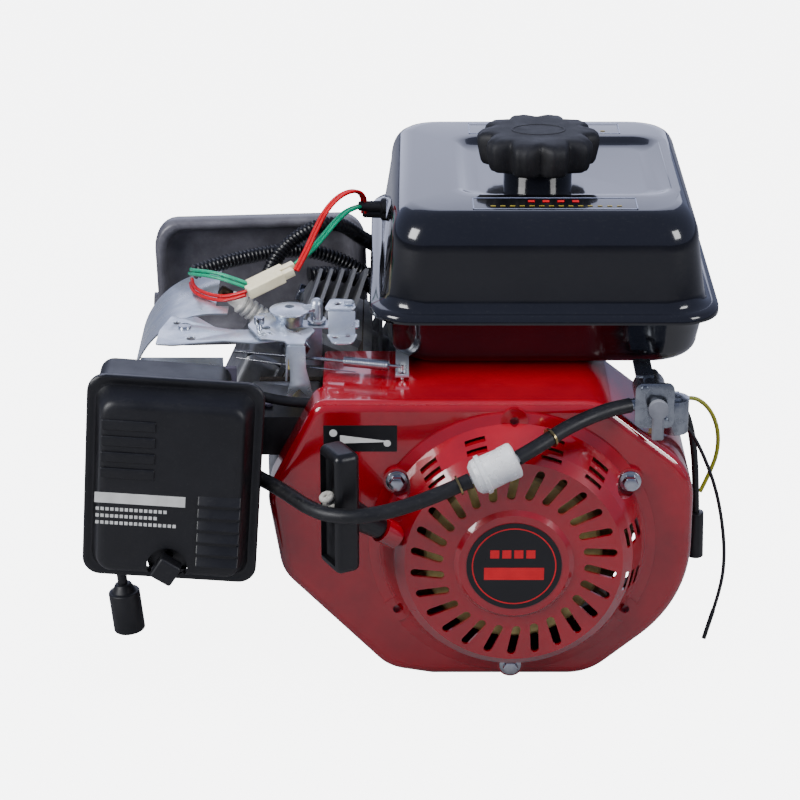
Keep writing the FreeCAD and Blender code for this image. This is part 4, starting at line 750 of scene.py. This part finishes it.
def spline(name, points_mm, radius_mm):
    # a NURBS line through its control points, with a round section
    curve = bpy.data.curves.new(name, "CURVE")
    curve.dimensions = "3D"
    line = curve.splines.new("NURBS")
    line.points.add(len(points_mm) - 1)
    for point, place in zip(line.points, points_mm):
        point.co = (place[0] * MM, place[1] * MM, place[2] * MM, 1)
    line.order_u = 3
    line.use_endpoint_u = True
    line.resolution_u = 12
    curve.bevel_depth = radius_mm * MM
    curve.bevel_resolution = 5
    curve.use_fill_caps = radius_mm > 0
    made = bpy.data.objects.new(name, curve)
    bpy.context.collection.objects.link(made)
    return made


def drawn(name, points_mm, radius_mm, rounds=5, steps=12):
    # a smooth line turned into a mesh
    line = spline(name, points_mm, radius_mm)
    line.data.splines[0].resolution_u = steps
    line.data.bevel_resolution = rounds
    clear()
    bpy.context.view_layer.objects.active = line
    line.select_set(True)
    bpy.ops.object.convert(target="MESH")


def route_points(points_mm):
    # points along the smooth line, in order
    made = spline("route", points_mm, 0)
    bpy.context.view_layer.update()
    mesh = bpy.data.meshes.new_from_object(made)
    places = [v.co.copy() for v in mesh.vertices]
    bpy.data.objects.remove(made)
    bpy.data.meshes.remove(mesh)
    return places


def wire(name, points_mm, radius_mm, material, slot):
    lead = spline(name, points_mm, radius_mm)
    lead.data.materials.append(material)
    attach(lead, root)
    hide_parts(slot)
    return lead


# Governor spring: a long close coil on the rod, with the fine idle wire beside it.
ROD_START, ROD_LINE = Vector((-190.0, -80.0, 218.6)), Vector((115.5, -28.0, 0.0))
COILS, STEPS = 18, 14
coil = []
for i in range(COILS * STEPS + 1):
    turn = 2 * math.pi * i / STEPS
    middle = ROD_START + ROD_LINE * (0.66 + 0.26 * i / (COILS * STEPS))
    coil.append(tuple(middle + Vector((0.8 * math.cos(turn), 3.0 * math.cos(turn), 3.1 * math.sin(turn)))))

drawn("governor_spring", coil, 0.55, 2, 2)
keep("governor_spring_coil", ground_steel, "link", (), 60)
drawn("fine_wire", [(-188, -82, 214.6), (-160, -92, 214.2), (-130, -99, 213.6), (-106, -104, 213.0)], 0.4)
keep("governor_fine_wire", ground_steel, "link", (), 60)

# Wire connectors: two cream nylon housings in line with their wires.
cream_nylon = surface("natural nylon connector", "#efe6c4", "#e3d8b2", 0.4, 0.0, 8, 0.7, 0.01)
connectors = softened("wire_connectors", 0.5, cream_nylon, root)
red_pvc = surface("red PVC insulation", "#c40416", "#ae0312", 0.3, 0.0, 8, 0.8, 0.006)
green_pvc = surface("green PVC insulation", "#009a70", "#008862", 0.3, 0.0, 8, 0.8, 0.006)
black_pvc = surface("black PVC insulation", "#0a0a0c", "#101012", 0.36, 0.0, 8, 0.8, 0.006)
yellow_pvc = surface("yellow-green PVC insulation", "#8f8a1c", "#79801f", 0.34, 0.0, 4, 0.8, 0.006)


WIRE_R = 1.3


def shifted(points_mm, step):
    return [tuple(a + b for a, b in zip(p, step)) for p in points_mm]


for name, colour, slot, step, far, length in (
        ("red_loop", red_pvc, "red_wires", (2.2, -2.2, 0.3), "connector", 108.7),
        ("green_loop", green_pvc, "green_wires", (2.2, -2.2, 0.3), "connector", 72.0),
        ("red_left", red_pvc, "red_wires", (1.0, 1.0, 2.6), "object", 66.7),
        ("green_left", green_pvc, "green_wires", (1.0, 1.0, 2.6), "object", 62.3)):
    wire(name + "_first", ROUTES[name], WIRE_R, colour, slot)
    wire(name + "_second", shifted(ROUTES[name], step), WIRE_R, colour, slot)

# High-tension lead: thick black rubber down the left of the air cleaner to its moulded plug cap.
cap_rubber = surface("moulded black rubber", "#0a0a0c", "#101012", 0.48, 0.0, 12, 0.7, 0.02)
plug_cap = softened("spark_plug_cap", 1.2, cap_rubber, root, 3)
plug_cap.data.transform(Matrix.Translation((0, 0, 0.012)))
wire("ht_lead_rubber", ROUTES["ht_lead"], 3.5, cap_rubber, "ht_lead")

for name, x, y, z in (("red", -103, 47, 274), ("green", -106, 40, 281.5)):
    # the rubber grommet that each pair of wires comes out of, on the side of the tank
    rivet([(0, 0), (5.8, 0), (5.8, 3), (3.9, 4), (3.6, -86 - x - 1), (2.4, -86 - x), (0, -86 - x)],
          (-86, y, z),
          "lead_grommet_" + name, cap_rubber, root, (-1, 0, 0))

# Stop lead with its bullet, coil lead with its sleeve, and the earth wire, down the right side.
terminals = softened("lead_terminals", 0.4, black_pvc, root)
wire("stop_lead_wire", ROUTES["stop_lead"], WIRE_R, black_pvc, "stop_lead")
wire("coil_lead_wire", ROUTES["coil_lead"], 2.5, black_pvc, "coil_lead")
wire("earth_wire_loop", ROUTES["earth_wire"], 1.5, yellow_pvc, "earth_wire")

# Conduits: corrugated polyethylene tube, one rib every 3 mm.
conduit_plastic = surface("corrugated black polyethylene", "#08080a", "#0d0d10", 0.34, 0.0, 12, 0.8, 0.01,
                          dust=0.06)
RIB = 3.0
CONDUIT_R = 5.5


def corrugated(name, points_mm, radius_mm):
    places = route_points(points_mm)
    reach = [0.0]
    for a, b in zip(places, places[1:]):
        reach.append(reach[-1] + (b - a).length)
    total = reach[-1]
    rings = int(total / (RIB * MM)) * 4
    sides = 16
    verts = []
    up = Vector((0, 0, 1))
    seg = 0
    for i in range(rings + 1):
        s = total * i / rings
        while seg < len(reach) - 2 and reach[seg + 1] < s:
            seg += 1
        part = (s - reach[seg]) / max(reach[seg + 1] - reach[seg], 1e-9)
        centre = places[seg].lerp(places[seg + 1], part)
        before = places[max(seg - 1, 0)]
        after = places[min(seg + 2, len(places) - 1)]
        along = (after - before).normalized()
        side = along.cross(up).normalized()
        over = side.cross(along).normalized()
        r = radius_mm * MM * (1.0, 0.96, 0.78, 0.8)[i % 4]
        for k in range(sides):
            a = 2 * math.pi * k / sides
            verts.append(centre + side * (r * math.cos(a)) + over * (r * math.sin(a)))
    faces = []
    for i in range(rings):
        for k in range(sides):
            n = (k + 1) % sides
            faces.append((i * sides + k, i * sides + n, (i + 1) * sides + n, (i + 1) * sides + k))
    faces.append(tuple(reversed(range(sides))))
    faces.append(tuple(rings * sides + k for k in range(sides)))
    tube = built(name, verts, [], faces)
    bpy.ops.object.mode_set(mode="EDIT")
    bpy.ops.mesh.select_all(action="SELECT")
    bpy.ops.mesh.normals_make_consistent(inside=False)
    bpy.ops.object.mode_set(mode="OBJECT")
    slot = name.replace("_tube", "")
    keep(name, conduit_plastic, root, (slot,), 60)
    return tube


corrugated("conduit_long_tube", ROUTES["conduit_long"], CONDUIT_R)
corrugated("conduit_short_tube", ROUTES["conduit_short"], CONDUIT_R)

# Plain pale floor under the base, soft studio lights and the camera.
floor_paint = bpy.data.materials.new("studio floor, matte white")
floor_paint.use_nodes = True
floor_shader = floor_paint.node_tree.nodes["Principled BSDF"]
floor_shader.inputs["Base Color"].default_value = linear("#8f8f92")
floor_shader.inputs["Roughness"].default_value = 0.9
floor_shader.inputs["Emission Color"].default_value = linear("#ffffff")
seen = add(floor_paint.node_tree, "ShaderNodeLightPath", {}, {}).outputs["Is Camera Ray"]
glow = add(floor_paint.node_tree, "ShaderNodeMath", {"operation": "MULTIPLY"}, {0: seen, 1: 6.0})
floor_paint.node_tree.links.new(glow.outputs[0], floor_shader.inputs["Emission Strength"])
clear()
bpy.ops.mesh.primitive_plane_add(size=12, location=(0, 0, -0.0005))
floor = bpy.context.object
floor.name = "studio_floor"
floor.data.materials.append(floor_paint)

world = bpy.data.worlds.new("studio")
world.use_nodes = True
world.node_tree.nodes["Background"].inputs["Color"].default_value = linear("#b9c4ee")
world.node_tree.nodes["Background"].inputs["Strength"].default_value = 0.5
bpy.context.scene.world = world
for name, place, size, power in (("softbox above", (0.1, -0.3, 1.5), 0.9, 26),
                                 ("softbox left", (-1.5, -1.0, 1.0), 0.8, 30),
                                 ("softbox right", (1.4, -1.1, 0.9), 0.6, 12),
                                 ("softbox behind", (-0.1, 2.6, 1.25), 2.4, 24)):
    lamp = bpy.data.lights.new(name, "AREA")
    lamp.size = size
    lamp.energy = power
    lamp.color = (0.74, 0.78, 1.0) if name == "softbox behind" else (1, 1, 1)
    light = bpy.data.objects.new(name, lamp)
    bpy.context.collection.objects.link(light)
    light.location = place
    light.visible_glossy = name != "softbox above"
    light.rotation_euler = (Vector((-0.03, 0, 0.15)) - Vector(place)).to_track_quat("-Z", "Y").to_euler()

lens = bpy.data.cameras.new("camera")
lens.lens = 121.5
lens.sensor_width = 36
camera = bpy.data.objects.new("camera", lens)
bpy.context.collection.objects.link(camera)
camera.location = (-0.076, -1.790, 0.922)
camera.rotation_euler = (math.radians(66.6), 0, 0)
bpy.context.scene.camera = camera
